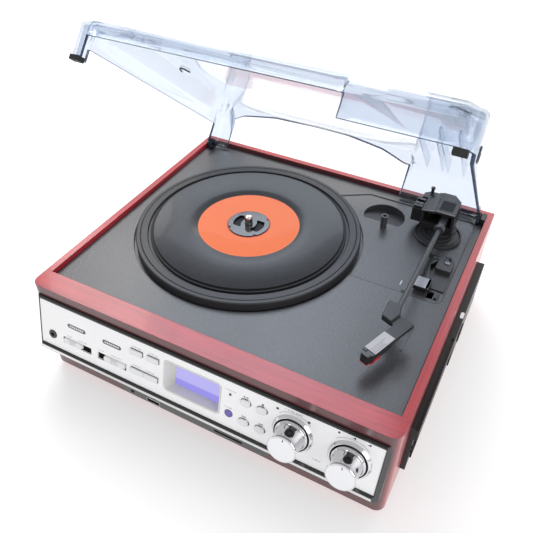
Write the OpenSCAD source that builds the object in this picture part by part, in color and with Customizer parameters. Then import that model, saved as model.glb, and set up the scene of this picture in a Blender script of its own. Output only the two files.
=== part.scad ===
// Stereo music centre: a wooden cabinet with a record player under a hinged
// clear cover, a tilted control panel in front and a cassette unit on the right.
// Millimetres. X to the right, Y to the back, Z up. The origin is the middle of
// the cabinet's footprint, on the surface that the feet stand on. The cover is
// shown open and the pickup arm parked.

/* [Cabinet] */
// Width of the wooden cabinet
cabinet_w = 320; // [312:1:330]
// Depth of the wooden cabinet
cabinet_d = 281; // [278:1:290]
// Height of the top of the wooden rails above the table
cabinet_top = 103; // [102:0.5:106]
// Height of the feet
foot_h = 6.5; // [6:0.5:12]
// Radius of a foot
foot_r = 12; // [8:0.5:14]
// Thickness of the front board
front_board_t = 19; // [17:0.5:21]
// Thickness of the side and rear boards
board_t = 9; // [8:0.5:10]
// Width of the rail that stays visible round the deck
rail_w = 5.8; // [5:0.1:6.5]
// Radius of the upright corners at the front of the cabinet
corner_r = 8; // [5:0.5:9]
// Radius of the upright corners at the rear
rear_corner_r = 1; // [0.6:0.1:4]
// Thickness of the base board
base_t = 6; // [5:0.5:8]

/* [Deck] */
// Thickness of the deck plate
deck_t = 3; // [2.5:0.1:3.5]
// Depth of the deck below the top of the rails
deck_drop = 4.5; // [4:0.1:5.5]
// Depth of the shallow recess for the arm and the adapter
recess_depth = 0.8; // [0.5:0.1:1.2]
// Radius of the adapter well
well_r = 19.6; // [19.2:0.1:20.2]
// Slope of the floor of the adapter well
well_slope = 16; // [12:0.5:18]
// Radius of the adapter post
adapter_post_r = 3; // [2:0.1:3.5]
// Height of the adapter post
adapter_post_h = 13.3; // [9:0.1:16]

/* [Record player] */
// Distance of the spindle to the left of the middle, in a 320 mm wide cabinet
spindle_left = 37.3; // [36:0.1:39]
// Front to back place of the spindle
spindle_y = 11.5; // [10:0.1:13]
// Radius of the platter, in a 320 mm wide cabinet
platter_base_r = 103.4; // [101:0.1:104.5]
// Height of the platter rim above the deck
platter_rise = 6.5; // [6:0.1:8]
// Width of the raised platter rim
rim_w = 10.9; // [9:0.1:12]
// Width of the groove between the slip mat and the rim
mat_gap = 2.5; // [1.5:0.1:3.5]
// Width of the slip mat that stays visible round the record
record_margin = 2.5; // [1.5:0.1:4]
// Thickness of the record
record_t = 1.6; // [1.2:0.1:2]
// Thickness of the slip mat
mat_t = 1.8; // [1.2:0.1:2]
// Radius of the hole in the record
record_hole_r = 19.05; // [18.8:0.05:19.3]
// Radius of the spindle
spindle_r = 3.6; // [3.4:0.02:3.65]
// Height of the spindle above the record
spindle_rise = 9.6; // [7:0.1:14]
// Radius of the spindle shaft in its bearing
shaft_r = 3; // [2.5:0.05:3.2]
// Distance from the platter's edge to the ring under it that the belt runs on
belt_ring_in = 43.4; // [41:0.1:47]
// Radius of the motor pulley
pulley_r = 5; // [4:0.1:7]

/* [Pickup arm] */
// Distance of the arm pivot to the right of the middle, in a 320 mm wide cabinet
pivot_right = 120; // [119:0.1:121]
// Front to back place of the arm pivot
pivot_y = 98; // [97:0.1:99]
// Height of the arm tube above the table
tube_z = 118; // [117:0.1:120]
// Radius of the arm tube
tube_r = 2.1; // [1.8:0.1:2.4]
// Sideways distance from the pivot to the tube
tube_shift = 2.5; // [2:0.1:3]
// Length from the pivot to the front end of the tube
tube_reach = 139; // [135:1:141]
// Radius of the post that the arm turns on
arm_post_r = 5; // [4:0.1:6]
// Radius of the axle that the arm tips on
arm_axle_r = 1.5; // [1.2:0.1:1.8]
// Inward angle of the head
head_angle = 20; // [18:1:22]

/* [Dust cover] */
// Distance from each side of the cabinet to the cover
cover_inset = 10.5; // [10.5:0.1:12]
// Length from the hinge line to the front of the cover
cover_len = 251; // [249:0.5:252]
// Wall thickness of the cover
cover_t = 2.5; // [2:0.1:3]
// Height of the upright walls above the hinge line
cover_wall_h = 34.5; // [33:0.5:36]
// Height of the roof plateau above the hinge line
cover_roof_h = 46.5; // [44:0.5:49]
// Angle of the open cover
cover_open = 41; // [35:1:45]
// Distance from the hinge line to the cabinet's back
hinge_inset = 13.5; // [13:0.1:14.5]
// Height of the hinge line above the deck
hinge_rise = 1.5; // [1.2:0.1:2]
// Radius of the hinge pins
hinge_pin_r = 1.4; // [1.2:0.1:1.6]

/* [Control panel] */
// Backward tilt of the panel
panel_tilt = 14; // [12:0.5:15]
// Width of the housing that stays visible at each end of the silver plate
plate_border = 3.85; // [3.5:0.05:4.5]
// Slant height of the silver plate
plate_h = 43.9; // [43.5:0.1:44.3]
// Thickness of the silver plate
plate_t = 1.5; // [1.2:0.1:1.8]
// Height of the plate's top edge above the table
plate_top_z = 90.3; // [89.8:0.1:90.8]
// How far the plate's top edge stands out from the wood
plate_out = 1.64; // [1.6:0.02:2.2]
// Distance from each side of the cabinet to the panel housing
housing_inset = 3.5; // [2:0.5:4.5]
// Distance between the plate and the control circuit board
board_gap = 12; // [11.5:0.1:13]
// Radius of a knob's skirt
knob_skirt_r = 13; // [12:0.1:13.5]
// Radius of a knob's front face
knob_face_r = 10.8; // [9:0.1:12]
// Height of a knob above the plate
knob_h = 18.5; // [16:0.5:21]
// Radius of a knob's shaft
knob_shaft_r = 3; // [2.5:0.1:3.2]
// Travel of a push button
button_travel = 1; // [0.6:0.1:1.2]
// Height of a push button above the plate
button_rise = 1.3; // [1:0.1:2]
// Radius of the headphone and line-in bores
jack_bore_r = 1.8; // [1.75:0.01:1.85]
// Depth of the headphone bore
jack_bore_len = 12; // [10:0.5:12.5]

/* [Cassette unit] */
// Thickness of the side fascia
fascia_t = 4; // [3.5:0.1:4.5]
// How far the rail over the slot and the block beside it stand out from the wood
fascia_block_out = 6.5; // [6:0.5:9]
// Width of the cassette slot
slot_w = 103; // [102.5:0.1:104]
// Height of the cassette slot
slot_h = 16; // [15:0.1:17]
// Inward travel of the eject button
eject_travel = 3; // [2:0.1:4]

/* [Fits] */
// Radial clearance of running fits
run_clear = 0.05; // [0.03:0.01:0.08]
// Gap round pieces that slide or press in
slide_clear = 0.25; // [0.15:0.01:0.35]
// Gap between pieces that are set in beside each other
set_gap = 0.2; // [0.1:0.01:0.3]

/* [Hidden] */
$fn = 96;
eps = 0.01;
// Places on the deck were measured on a cabinet 320 mm wide and keep their share of the width
wide = cabinet_w / 320;
half_w = cabinet_w / 2;
front_y = -cabinet_d / 2;
rear_y = cabinet_d / 2;
wood_h = cabinet_top - foot_h;
deck_top = cabinet_top - deck_drop;
deck_under = deck_top - deck_t;
deck_front = front_y + front_board_t;
deck_rear = rear_y - rail_w;
deck_side = half_w - rail_w;
inner_side = half_w - board_t;
inner_rear = rear_y - board_t;
base_top = foot_h + base_t;
recess_z = deck_top - recess_depth;
foot_pos = [for (x = [-1, 1], y = [-1, 1]) [x * (half_w - 30), y * (rear_y - 35.5)]];
foot_screw_r = 1.6;
foot_screw_head_r = 3.2;
speaker_x = 105 * wide;
speaker_y = 60;
speaker_pos = [[-speaker_x, speaker_y], [speaker_x, speaker_y]];
speaker_r = 33 * wide;
speaker_slot_half = 24 * wide;
main_board_half = 60 * wide;
main_board_front = 30;
main_board_rear = 110;
main_board_z = base_top + 6;
transformer_left = -inner_side + 11;
transformer_w = 42;
transformer_front = -70;
transformer_d = 40;

// Platter stack
spindle_x = -spindle_left * wide;
platter_r = platter_base_r * wide;
rim_inner_r = platter_r - rim_w;
mat_r = rim_inner_r - mat_gap;
record_r = mat_r - record_margin;
belt_ring_r = platter_r - belt_ring_in;
well_plate_r = platter_r + 2.6;
pan_t = 2.5;
pan_z = deck_under;
pan_under = pan_z - pan_t;
rim_top = deck_top + platter_rise;
web_top = rim_top - 2;
web_t = 1.5;
skirt_low = pan_z + 1;
mat_top = web_top + mat_t;
record_top = mat_top + record_t;
spindle_top = record_top + spindle_rise;
spindle_free_low = record_top + 1;
spindle_root_r = spindle_r - 0.3;
spindle_pass_r = spindle_r + 0.15;
hub_r = 8;
hub_low = pan_z + 1.6;
bearing_r = 6;
bearing_collar_r = 9;
bearing_len = 27;
bearing_collar_top = hub_low - 0.3;
motor_dx = 60 * wide;
motor_dy = -60 * wide;
motor_x = spindle_x + motor_dx;
motor_y = spindle_y + motor_dy;
motor_dist = sqrt(motor_dx * motor_dx + motor_dy * motor_dy);
motor_dir = atan2(motor_dy, motor_dx);
motor_shaft_r = 1;
motor_r = 15;
motor_h = 27;
pulley_low = pan_z + 1.3;
pulley_h = 4;
belt_t = 0.7;
belt_gap = 0.1;
belt_low = pulley_low + 0.6;
belt_w = 2.8;

// Adapter well and recess
pivot_x = pivot_right * wide;
well_x = pivot_x - 53.8;
well_y = 93.8;
adapter_post_x = pivot_x - 49;
adapter_post_y = 77;
well_flush_y = 84;
well_wall = 2.4;
recess_left = pivot_x - 66;
recess_right = pivot_x + 27;
recess_front = -1.3;
recess_rear = 122.3;
recess_corner_r = 6;

// Arm
base_disc_x = pivot_x - 0.5;
base_disc_y = 88.5;
base_disc_r = 21.5;
base_disc_h = 2.4;
arm_boss_r = 8.5;
arm_boss_top = recess_z + 6;
arm_post_top = arm_boss_top + 7;
turret_low = arm_boss_top + 0.3;
turret_top = tube_z + 8.5;
turret_wall = 2.4;
turret_left = pivot_x - 19;
turret_right = pivot_x + 11.5;
turret_front = pivot_y - 13;
turret_rear = pivot_y + 19;
tube_x = pivot_x + tube_shift;
tube_front = pivot_y - tube_reach;
collar_y = pivot_y - 27;
head_x = tube_x + 10.8;
head_y = tube_front - 9;
head_len = 44;
head_half = 5.3;

// Lever, lift platform and switch beside the arm
lever_pin_y = 50;
lever_pin_z = recess_z + 3.9;
lever_pin_r = 1.2;
lever_hub_r = 2.6;
lever_t = 2.2;
lever_rear = lever_pin_y + 3.2;
lever_tab_rear = 19;
lever_tab_front = 6;
lift_x = pivot_x + 2.6;
lift_y = 58.5;
lift_post_r = 2;
lift_guide_r = 4;
lift_guide_h = 8;
rest_left = pivot_x + 11.5;
rest_right = pivot_x + 24.6;
rest_front = 36.5;
rest_rear = 52.6;
rest_top = recess_z + 5.5;
deck_screw_x = pivot_x + 19.3;
deck_screw_y = 47;
deck_screw_r = 1.2;
switch_x0 = pivot_x + 13.8;
switch_x1 = pivot_x + 24;
switch_y0 = 3;
switch_y1 = 12;
switch_knob_w = 4.8;

// Cover
hinge_y = rear_y - hinge_inset;
hinge_z = deck_top + hinge_rise;
cover_w = cabinet_w - 2 * cover_inset;
cover_side = cover_w / 2;
cover_corner_r = 12;
cover_low = 2.2;
cover_leg_low = 7.2;
cover_foot_h = 3.9;
ear_r = 4.6;
hinge_block_w = 4;
hinge_gap = 0.5;

// Panel
housing_w = cabinet_w - 2 * housing_inset;
plate_w = housing_w - 2 * plate_border;
plate_top_y = front_y - plate_out;
tilt_s = sin(panel_tilt);
tilt_c = cos(panel_tilt);
border_out = 0.5;
wall_back = 4;
nose_y = front_y - 14.5;
nose_z = 46.8;
strip_low_z = 41.5;
housing_under_z = 39.5;
housing_top_z = plate_top_z + 3.2;
window_half = half_w - 14;
window_low = 47;
window_high = plate_top_z - 2.2;
panel_wall_half = window_half - 0.5;
panel_wall_top = 3.8;
panel_wall_low = 42;
// A place across the plate, measured on one 305.3 mm wide, keeps its share of the width
function plate_place(x) = x * plate_w / 305.3;
tuning_x = plate_place(86.5);
volume_x = plate_place(130.5);
knob_s = 22;
bezel_inner_r = knob_skirt_r + 1.1;
bezel_outer_r = bezel_inner_r + 2.2;
pot_r = 8;
display_x0 = plate_place(-24.2);
display_x1 = plate_place(25.2);
display_s0 = 7.5;
display_s1 = 34.7;
display_corner_r = 3;
display_deep = 9.2;
display_glass_x0 = plate_place(-19);
display_glass_s0 = 10;
tub_wall = 1.2;
lamp_x = plate_place(34.2);
lamp_s = 11.8;
lamp_r = 0.8;
remote_x = plate_place(34.4);
remote_s = 30.1;
remote_r = 3.3;
jack_x = plate_place(-139.9);
jack_s = 31.8;
jack_r = 3.9;
board_t2 = 1.6;
key_s0 = 28.1;
// Each push button: left edge, right edge, upper edge, lower edge
key_1 = [plate_place(-57.4), plate_place(-46), 9.8, 14.5];
key_2 = [plate_place(-41.2), plate_place(-30.4), 9.6, 14.3];
key_3 = [plate_place(-57), plate_place(-44), 28.1, 32.9];
key_4 = [plate_place(-43.7), plate_place(-30.7), 28.1, 32.9];
keys = [key_1, key_2, key_3, key_4];
// Each oval button: centre across and down the plate
oval_w = plate_place(8.2);
oval_h = 6;
oval_1 = [plate_place(47.4), 13.1];
oval_2 = [plate_place(61), 13.3];
oval_3 = [plate_place(47.6), 31.7];
oval_4 = [plate_place(61.2), 31.6];
ovals = [oval_1, oval_2, oval_3, oval_4];
// Slide switches: slot left and right edge, upper and lower edge, knob edges
function_slot = [plate_place(-128.3), plate_place(-98), 28.9, 35.4];
function_cap = [plate_place(-128), plate_place(-107.2)];
function_travel = plate_place(8.8);
band_slot = [plate_place(-91.2), plate_place(-61.7), 28.6, 35.4];
band_cap = [plate_place(-85), plate_place(-62.5)];
band_travel_left = plate_place(5.8);
band_travel_right = plate_place(0.4);
cap_rise = 2;
stem_w = 5;

// Pod under the panel
pod_top_x0 = -69.3;
pod_top_x1 = 73;
pod_low_x0 = -61.8;
pod_low_x1 = 65.5;
pod_low_z = 33;
pod_face_y = front_y - 13.6;
line_in_x = -56;
line_in_z = 37.2;
usb_x = -35;
usb_w = 13.2;
usb_h = 5.7;
usb_z = 36.4;
usb_deep = 12;
card_x0 = 23;
card_x1 = 48;
card_h = 2.4;

// Cassette unit
fascia_x = half_w;
fascia_front = -103;
fascia_rear = 104;
fascia_low = 15;
fascia_high = 70;
slot_y0 = -97;
slot_y1 = slot_y0 + slot_w;
slot_z0 = 34;
slot_z1 = slot_z0 + slot_h;
door_t = 2.2;
door_pin_r = 0.8;
door_pin_x = fascia_x + 1.5;
door_pin_z = slot_z1 - 1.4;
mech_wall = 3;
mech_depth = 68;
mech_floor = 4;
rail_low = 57;
rail_rib_h = 1.5;
block_front = -4;
block_low_front = slot_y1 + 4;
eject_y0 = 20;
eject_y1 = 34;
eject_z0 = 44;
eject_z1 = 54;
eject_out = 1.2;

// Rear sockets
rear_plate_x0 = -60;
rear_plate_x1 = 0;
rear_plate_z0 = 40;
rear_plate_z1 = 70;
rear_plate_t = 1.5;

// Shared shapes

// A box given by its two opposite corners
module box(a, b) {
  translate(a) cube(b - a);
}

// A cylinder from a point, upwards
module post(p, r, h) {
  translate(p) cylinder(r = r, h = h);
}

// A cylinder along Y
module post_y(p, r, h) {
  translate(p) rotate([-90, 0, 0]) cylinder(r = r, h = h);
}

// A cylinder along X
module post_x(p, r, h) {
  translate(p) rotate([0, 90, 0]) cylinder(r = r, h = h);
}

// An upright box with round corners, made of straight and round bodies
module round_box(a, b, r) {
  box([a[0] + r, a[1], a[2]], [b[0] - r, b[1], b[2]]);
  box([a[0], a[1] + r, a[2]], [b[0], b[1] - r, b[2]]);
  for (x = [a[0] + r, b[0] - r], y = [a[1] + r, b[1] - r])
    post([x, y, a[2]], r, b[2] - a[2]);
}

// Stands children on the silver plate: x across, y up the slope, z out of it
module on_plate() {
  translate([0, plate_top_y, plate_top_z]) rotate([90 - panel_tilt, 0, 0]) children();
}

// A box on the plate between two places across, two down the slope and two heights
module plate_box(x0, x1, s0, s1, h0, h1) {
  box([x0, -s1, h0], [x1, -s0, h1]);
}

// The same box with round corners
module plate_round_box(x0, x1, s0, s1, h0, h1, r) {
  round_box([x0, -s1, h0], [x1, -s0, h1], r);
}

// An oval on the plate: two round ends and the straight part between them
module plate_oval(p, w, h, h0, h1) {
  r = h / 2;
  plate_box(p[0] - w / 2 + r, p[0] + w / 2 - r, p[1] - r, p[1] + r, h0, h1);
  for (x = [p[0] - w / 2 + r, p[0] + w / 2 - r])
    post([x, -p[1], h0], r, h1 - h0);
}

// The hinge frame of the cover: y runs to the back, z up, at the open angle
module on_cover() {
  translate([0, hinge_y, hinge_z]) rotate([-cover_open, 0, 0]) children();
}

// The outline that a tight belt takes round a big and a small wheel, gap apart along X
module belt_form(big, small, gap, w) {
  hull() {
    cylinder(r = big, h = w, $fn = 120);
    translate([gap, 0, 0]) cylinder(r = small, h = w, $fn = 48);
  }
}

// Wooden cabinet

module front_board() {
  color("#8c4a45")
    difference() {
      union() {
        box([-half_w + corner_r, front_y, foot_h], [half_w - corner_r, deck_front, cabinet_top]);
        box([-half_w, front_y + corner_r, foot_h], [half_w, deck_front, cabinet_top]);
        for (x = [-half_w + corner_r, half_w - corner_r])
          post([x, front_y + corner_r, foot_h], corner_r, wood_h);
      }
      box([-window_half, front_y - 1, window_low], [window_half, deck_front + 1, window_high]);
      box([line_in_x - 6, front_y - 1, pod_low_z + 1], [card_x1 + 3, deck_front + 1, pod_low_z + 8]);
    }
}

module side_board_blank() {
  difference() {
    union() {
      box([inner_side, deck_front, foot_h], [half_w, rear_y - rear_corner_r, cabinet_top]);
      box([inner_side, deck_front, foot_h], [half_w - rear_corner_r, rear_y, cabinet_top]);
      post([half_w - rear_corner_r, rear_y - rear_corner_r, foot_h], rear_corner_r, wood_h);
    }
    box([inner_side - 10, deck_front - 1, foot_h - 1], [inner_side, rear_y + 1, cabinet_top + 1]);
    box([inner_side - 1, deck_front - 1, deck_under], [deck_side, deck_rear, cabinet_top + 1]);
  }
}

module left_side_board() {
  color("#8c4a45") mirror([1, 0, 0]) side_board_blank();
}

module right_side_board() {
  color("#8c4a45")
    difference() {
      side_board_blank();
      box([inner_side - 1, slot_y0 - mech_wall - set_gap, slot_z0 - mech_floor - set_gap],
        [half_w + 1, slot_y1 + mech_wall + set_gap, slot_z1 + mech_floor + set_gap]);
      box([inner_side - 1, eject_y0 - 1, eject_z0 - 1], [half_w + 1, eject_y1 + 1, eject_z1 + 1]);
    }
}

module rear_board() {
  color("#8c4a45")
    difference() {
      box([-inner_side, inner_rear, foot_h], [inner_side, rear_y, cabinet_top]);
      box([-inner_side - 1, inner_rear - 1, deck_under], [inner_side + 1, deck_rear, cabinet_top + 1]);
      box([rear_plate_x0 + 4, inner_rear - 1, rear_plate_z0 + 3],
        [rear_plate_x1 - 4, rear_y + 1, rear_plate_z1 - 3]);
    }
}

module base_board() {
  color("#2a2a2c")
    difference() {
      box([-inner_side + set_gap, deck_front + set_gap, foot_h],
        [inner_side - set_gap, inner_rear - set_gap, base_top]);
      for (p = speaker_pos, k = [-2:2])
        box([p[0] - speaker_slot_half, p[1] + k * 9 - 2, foot_h - 1],
          [p[0] + speaker_slot_half, p[1] + k * 9 + 2, base_top + 1]);
      for (p = foot_pos)
        post([p[0], p[1], foot_h - 1], foot_screw_r + run_clear, base_t + 2);
    }
}

module feet() {
  color("#1c1c1e")
    for (p = foot_pos)
      difference() {
        union() {
          post([p[0], p[1], 0], foot_r, foot_h - 1.5);
          post([p[0], p[1], 0], foot_r - 1.5, foot_h);
        }
        post([p[0], p[1], -1], foot_screw_head_r + 0.8, foot_h - 4 + 1);
        post([p[0], p[1], -1], foot_screw_r + 0.3, foot_h + 2);
      }
}

module screws() {
  color("#b9bcc0") {
    for (p = foot_pos) {
      post([p[0], p[1], foot_h - 6], foot_screw_head_r, 2);
      post([p[0], p[1], foot_h - 4.5], foot_screw_r, base_t + 3);
    }
    difference() {
      union() {
        post([deck_screw_x, deck_screw_y, rest_top], 2.3, 0.9);
        post([deck_screw_x, deck_screw_y, rest_top - 4], deck_screw_r, 4.5);
      }
      box([deck_screw_x - 1.6, deck_screw_y - 0.25, rest_top + 0.4],
        [deck_screw_x + 1.6, deck_screw_y + 0.25, rest_top + 2]);
    }
  }
}

// Deck

module well_cut() {
  intersection() {
    post([well_x, well_y, recess_z - 20], well_r, 30);
    translate([well_x, well_flush_y, recess_z])
      rotate([-well_slope, 0, 0])
        box([-60, -0.5, 0], [60, 60, 40]);
  }
}

module top_deck() {
  color("#3a3b3f")
    difference() {
      union() {
        box([-deck_side + set_gap, deck_front + set_gap, deck_under],
          [deck_side - set_gap, deck_rear - set_gap, deck_top]);
        post([spindle_x, spindle_y, pan_under], well_plate_r + 2.5, pan_t + eps);
        post([well_x, well_y, recess_z - 12], well_r + well_wall, 12 - recess_depth);
        post([lift_x, lift_y, deck_under - lift_guide_h], lift_guide_r, lift_guide_h + eps);
        post([adapter_post_x, adapter_post_y, deck_under], adapter_post_r,
          recess_z - deck_under + adapter_post_h);
      }
      difference() {
        union() {
          round_box([recess_left, recess_front, recess_z], [recess_right, recess_rear, deck_top + 1],
            recess_corner_r);
          translate([0, 0, recess_z])
            linear_extrude(height = deck_top + 1 - recess_z)
              polygon([[recess_left - 39, recess_rear - 16.6], [recess_left - 11.9, recess_rear],
                [recess_left + 8, recess_rear],
                [recess_left + 8, 60], [recess_left - 5, 60]]);
        }
        post([adapter_post_x, adapter_post_y, recess_z - 1], adapter_post_r, 10);
      }
      difference() {
        well_cut();
        post([adapter_post_x, adapter_post_y, recess_z - 25], adapter_post_r, 50);
      }
      post([adapter_post_x, adapter_post_y, recess_z + adapter_post_h - 6], adapter_post_r - 1.2, 8);
      post([spindle_x, spindle_y, pan_z], well_plate_r, 10);
      post([spindle_x, spindle_y, pan_under - 1], bearing_r + run_clear, 10);
      post([motor_x, motor_y, pan_under - 1], 4, 10);
      post([lift_x, lift_y, deck_under - lift_guide_h - 1], lift_post_r + run_clear, 20);
      box([switch_x0, switch_y0, deck_under - 1], [switch_x1, switch_y1, deck_top + 1]);
      for (m = [-1, 1])
        box([m > 0 ? cover_side - cover_t - 0.8 : -cover_side - 0.3, hinge_y - ear_r - 2.5, deck_under - 1],
          [m > 0 ? cover_side + 0.3 : -cover_side + cover_t + 0.8, hinge_y + ear_r + 1.5, deck_top + 1]);
    }
}

module spindle_bearing() {
  color("#b08d4a")
    translate([spindle_x, spindle_y, 0])
      difference() {
        union() {
          post([0, 0, pan_under - bearing_len], bearing_r, bearing_len + pan_t);
          post([0, 0, pan_z], bearing_collar_r, bearing_collar_top - pan_z);
        }
        post([0, 0, pan_under - bearing_len + 3], shaft_r + run_clear, bearing_len + 10);
      }
}

module drive_motor() {
  color("#9a9da1")
    translate([motor_x, motor_y, 0]) {
      post([0, 0, pan_under - motor_h], motor_r, motor_h);
      post([0, 0, pan_under - 1], motor_shaft_r, pulley_low + pulley_h - 0.4 - pan_under + 1);
    }
}

module motor_pulley() {
  color("#d8d8d2")
    translate([motor_x, motor_y, 0])
      difference() {
        union() {
          post([0, 0, pulley_low], pulley_r, pulley_h);
        }
        post([0, 0, pulley_low - 1], motor_shaft_r + run_clear, pulley_h + 2);
      }
}

module drive_belt() {
  color("#1a1a1a")
    translate([spindle_x, spindle_y, belt_low])
      rotate([0, 0, motor_dir])
        difference() {
          belt_form(belt_ring_r + belt_gap + belt_t, pulley_r + belt_gap + belt_t, motor_dist, belt_w);
          translate([0, 0, -1])
            belt_form(belt_ring_r + belt_gap, pulley_r + belt_gap, motor_dist, belt_w + 2);
        }
}

// Platter, record and spindle

module spindle() {
  color("#d5d7da")
    translate([spindle_x, spindle_y, 0]) {
      post([0, 0, pan_under - bearing_len + 3.3], shaft_r, hub_low + 0.5 - pan_under + bearing_len - 3.3);
      // Thinner root pressed in the platter, under the free end that takes a record
      post([0, 0, hub_low], spindle_root_r, spindle_free_low - hub_low);
      post([0, 0, spindle_free_low], spindle_r, spindle_top - 2 - spindle_free_low);
      translate([0, 0, spindle_top - 2])
        rotate_extrude()
          polygon([[0, 0], [spindle_r, 0], [spindle_r - 0.5, 1], [spindle_r - 1.6, 1.8], [0, 2]]);
    }
}

module platter() {
  color("#46474c")
    translate([spindle_x, spindle_y, 0])
      rotate_extrude($fn = 180)
        union() {
          polygon([
            [spindle_root_r + set_gap / 4, hub_low],
            [hub_r, hub_low],
            [hub_r, web_top - web_t],
            [belt_ring_r - 3, web_top - web_t],
            [belt_ring_r - 3, belt_low - 0.4],
            [belt_ring_r, belt_low - 0.4],
            [belt_ring_r, web_top - web_t],
            [platter_r - 2.4, web_top - web_t],
            [platter_r - 2.4, skirt_low],
            [platter_r, skirt_low],
            [platter_r, rim_top - 0.8],
            [platter_r - 0.8, rim_top],
            [platter_r - 3.7, rim_top],
            [platter_r - 4.2, rim_top - 0.6],
            [platter_r - 4.7, rim_top],
            [rim_inner_r + 0.5, rim_top],
            [rim_inner_r, rim_top - 0.5],
            [rim_inner_r, web_top],
            [spindle_root_r + set_gap / 4, web_top]
          ]);
        }
}

module slip_mat() {
  color("#232326")
    translate([spindle_x, spindle_y, web_top])
      difference() {
        cylinder(r = mat_r, h = mat_t);
        post([0, 0, -1], spindle_pass_r, mat_t + 2);
      }
}

module record() {
  color("#1b1b1e")
    translate([spindle_x, spindle_y, mat_top])
      difference() {
        cylinder(r = record_r, h = record_t);
        post([0, 0, -1], record_hole_r, record_t + 2);
      }
}

module record_adapter() {
  color("#141416")
    translate([spindle_x, spindle_y, mat_top])
      difference() {
        cylinder(r = record_hole_r - set_gap / 2, h = record_t + 0.6);
        post([0, 0, -1], spindle_pass_r, record_t + 3);
        for (a = [0, 180])
          rotate([0, 0, a])
            intersection() {
              difference() {
                post([0, 0, -1], 14.5, record_t + 3);
                post([4.5, 0, -2], 11.5, record_t + 5);
              }
              box([-20, -8, -3], [-5, 8, 6]);
            }
        for (a = [0:90:270])
          rotate([0, 0, a + 45])
            post([record_hole_r + 0.6, 0, -1], 2.2, record_t + 3);
      }
}

// Pickup arm

module arm_base() {
  color("#3f4045") {
    difference() {
      union() {
        post([base_disc_x, base_disc_y, recess_z], base_disc_r, base_disc_h);
        post([pivot_x, pivot_y, recess_z], arm_boss_r + 5.5, base_disc_h + 1.4);
        post([pivot_x, pivot_y, recess_z], arm_boss_r, arm_boss_top - recess_z);
        post([pivot_x, pivot_y, recess_z], arm_post_r, arm_post_top - recess_z);
      }
      difference() {
        post([base_disc_x, base_disc_y, recess_z + base_disc_h - 0.8], base_disc_r - 1.6, 1);
        post([base_disc_x, base_disc_y, recess_z], base_disc_r - 3, 10);
        post([pivot_x, pivot_y, recess_z], arm_boss_r + 5.5, 10);
      }
    }
  }
}

module arm_turret() {
  color("#34353a") {
    difference() {
      box([turret_left, turret_front, turret_low], [turret_right, turret_rear, turret_top]);
      // Inside, open to the front
      box([turret_left + turret_wall, turret_front - 1, turret_low + 6.4],
        [turret_right - turret_wall, turret_rear - turret_wall, turret_top - turret_wall - 1]);
      // Slanted left part of the roof
      translate([pivot_x - 7, turret_front - 1, turret_top - 0.6])
        rotate([0, -9, 0])
          box([-40, 0, 0], [0, 50, 20]);
      // Corners cut off at the rear
      translate([turret_right, turret_rear - 9, turret_low - 1])
        rotate([0, 0, 45])
          box([0, -10, 0], [20, 30, 60]);
      translate([turret_left, turret_rear - 6, turret_low - 1])
        rotate([0, 0, 45])
          box([-10, 0, 0], [30, 20, 60]);
      // Front corner on the left, so that the side tapers inwards to the front
      translate([turret_left - 1, turret_front - 1, turret_low - 1])
        linear_extrude(height = 8)
          polygon([[0, 0], [18, 0], [0, 12]]);
      post([pivot_x, pivot_y, turret_low - 1], arm_post_r + run_clear, 8.5);
      post_x([turret_left - 1, pivot_y, tube_z], arm_axle_r + run_clear, turret_right - turret_left + 2);
      // Inset field on the roof
      box([pivot_x - 4, turret_front + 3.4, turret_top - 0.5],
        [turret_right - 3, pivot_y + 6, turret_top + 1]);
    }
    // Spring block on the left, ledge and post behind
    box([turret_left - 9, turret_front + 3, turret_low + 3],
      [turret_left + 0.3, pivot_y + 8, turret_top - 3]);
    translate([pivot_x, pivot_y, turret_top - 6.5])
      linear_extrude(height = 4)
        polygon([[-24, 7], [-24, 14.5], [-19, 19.2], [-11, 19.2], [-11, 15], [-17, 7]]);
    post([pivot_x - 17.5, pivot_y + 17, turret_top - 3], 2, 6.5);
  }
}

module arm_tube() {
  color("#55575c") {
    post_x([turret_left + 0.6, pivot_y, tube_z], arm_axle_r, turret_right - turret_left - 1.2);
    difference() {
      union() {
        post_y([tube_x, tube_front, tube_z], tube_r, tube_reach - 20);
        post_y([tube_x, collar_y - 2, tube_z], 4.6, 4);
        box([tube_x - 3.4, collar_y + 1, tube_z - 3.4], [tube_x + 3.4, pivot_y - 4, tube_z + 2.4]);
        // Tail with its counterweight
        box([tube_x - 3.4, pivot_y - 5, tube_z - 3.4], [tube_x + 3.4, pivot_y + 4, tube_z + 2.4]);
        post_y([tube_x, pivot_y + 3, tube_z], 4, 9);
      }
    }
  }
}

module on_head() {
  translate([head_x, head_y, tube_z]) rotate([0, 0, -head_angle]) children();
}

module headshell() {
  color("#2b2c30") {
    // Joint block that takes the end of the tube, and its bridge to the shell
    difference() {
      translate([tube_x, tube_front, tube_z - 2.6])
        linear_extrude(height = 5.2)
          polygon([[-8.8, 4], [1.6, 4], [3.8, -7.4], [-0.2, -17.6], [-8.5, -14]]);
      post_y([tube_x, tube_front - 1, tube_z], tube_r + set_gap / 4, 6);
    }
    translate([tube_x, tube_front, tube_z - 2.4])
      linear_extrude(height = 2.8)
        polygon([[2, -5], [10, -10.5], [7, -20], [-0.8, -17]]);
    on_head() {
      box([-head_half, -30, -2.6], [head_half, 0, 0.6]);
      box([0.3 - head_half, -head_len, -2.6], [head_half - 0.3, -29, 1.2]);
    }
    // Finger lift
    translate([head_x, head_y, tube_z - 2.4])
      linear_extrude(height = 1.3)
        polygon([[2, -4], [5.6, -3], [4.3, -28.2], [2.5, -28.2], [3, -10]]);
  }
}

module cartridge() {
  color("#c9cbce")
    on_head() {
      box([-4.6, -head_len - 2, -7.4], [4.4, 20 - head_len, -2.6]);
      box([-4.8, -head_len - 6, -7.4], [4.8, -head_len - 2, 1.6]);
    }
}

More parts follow.
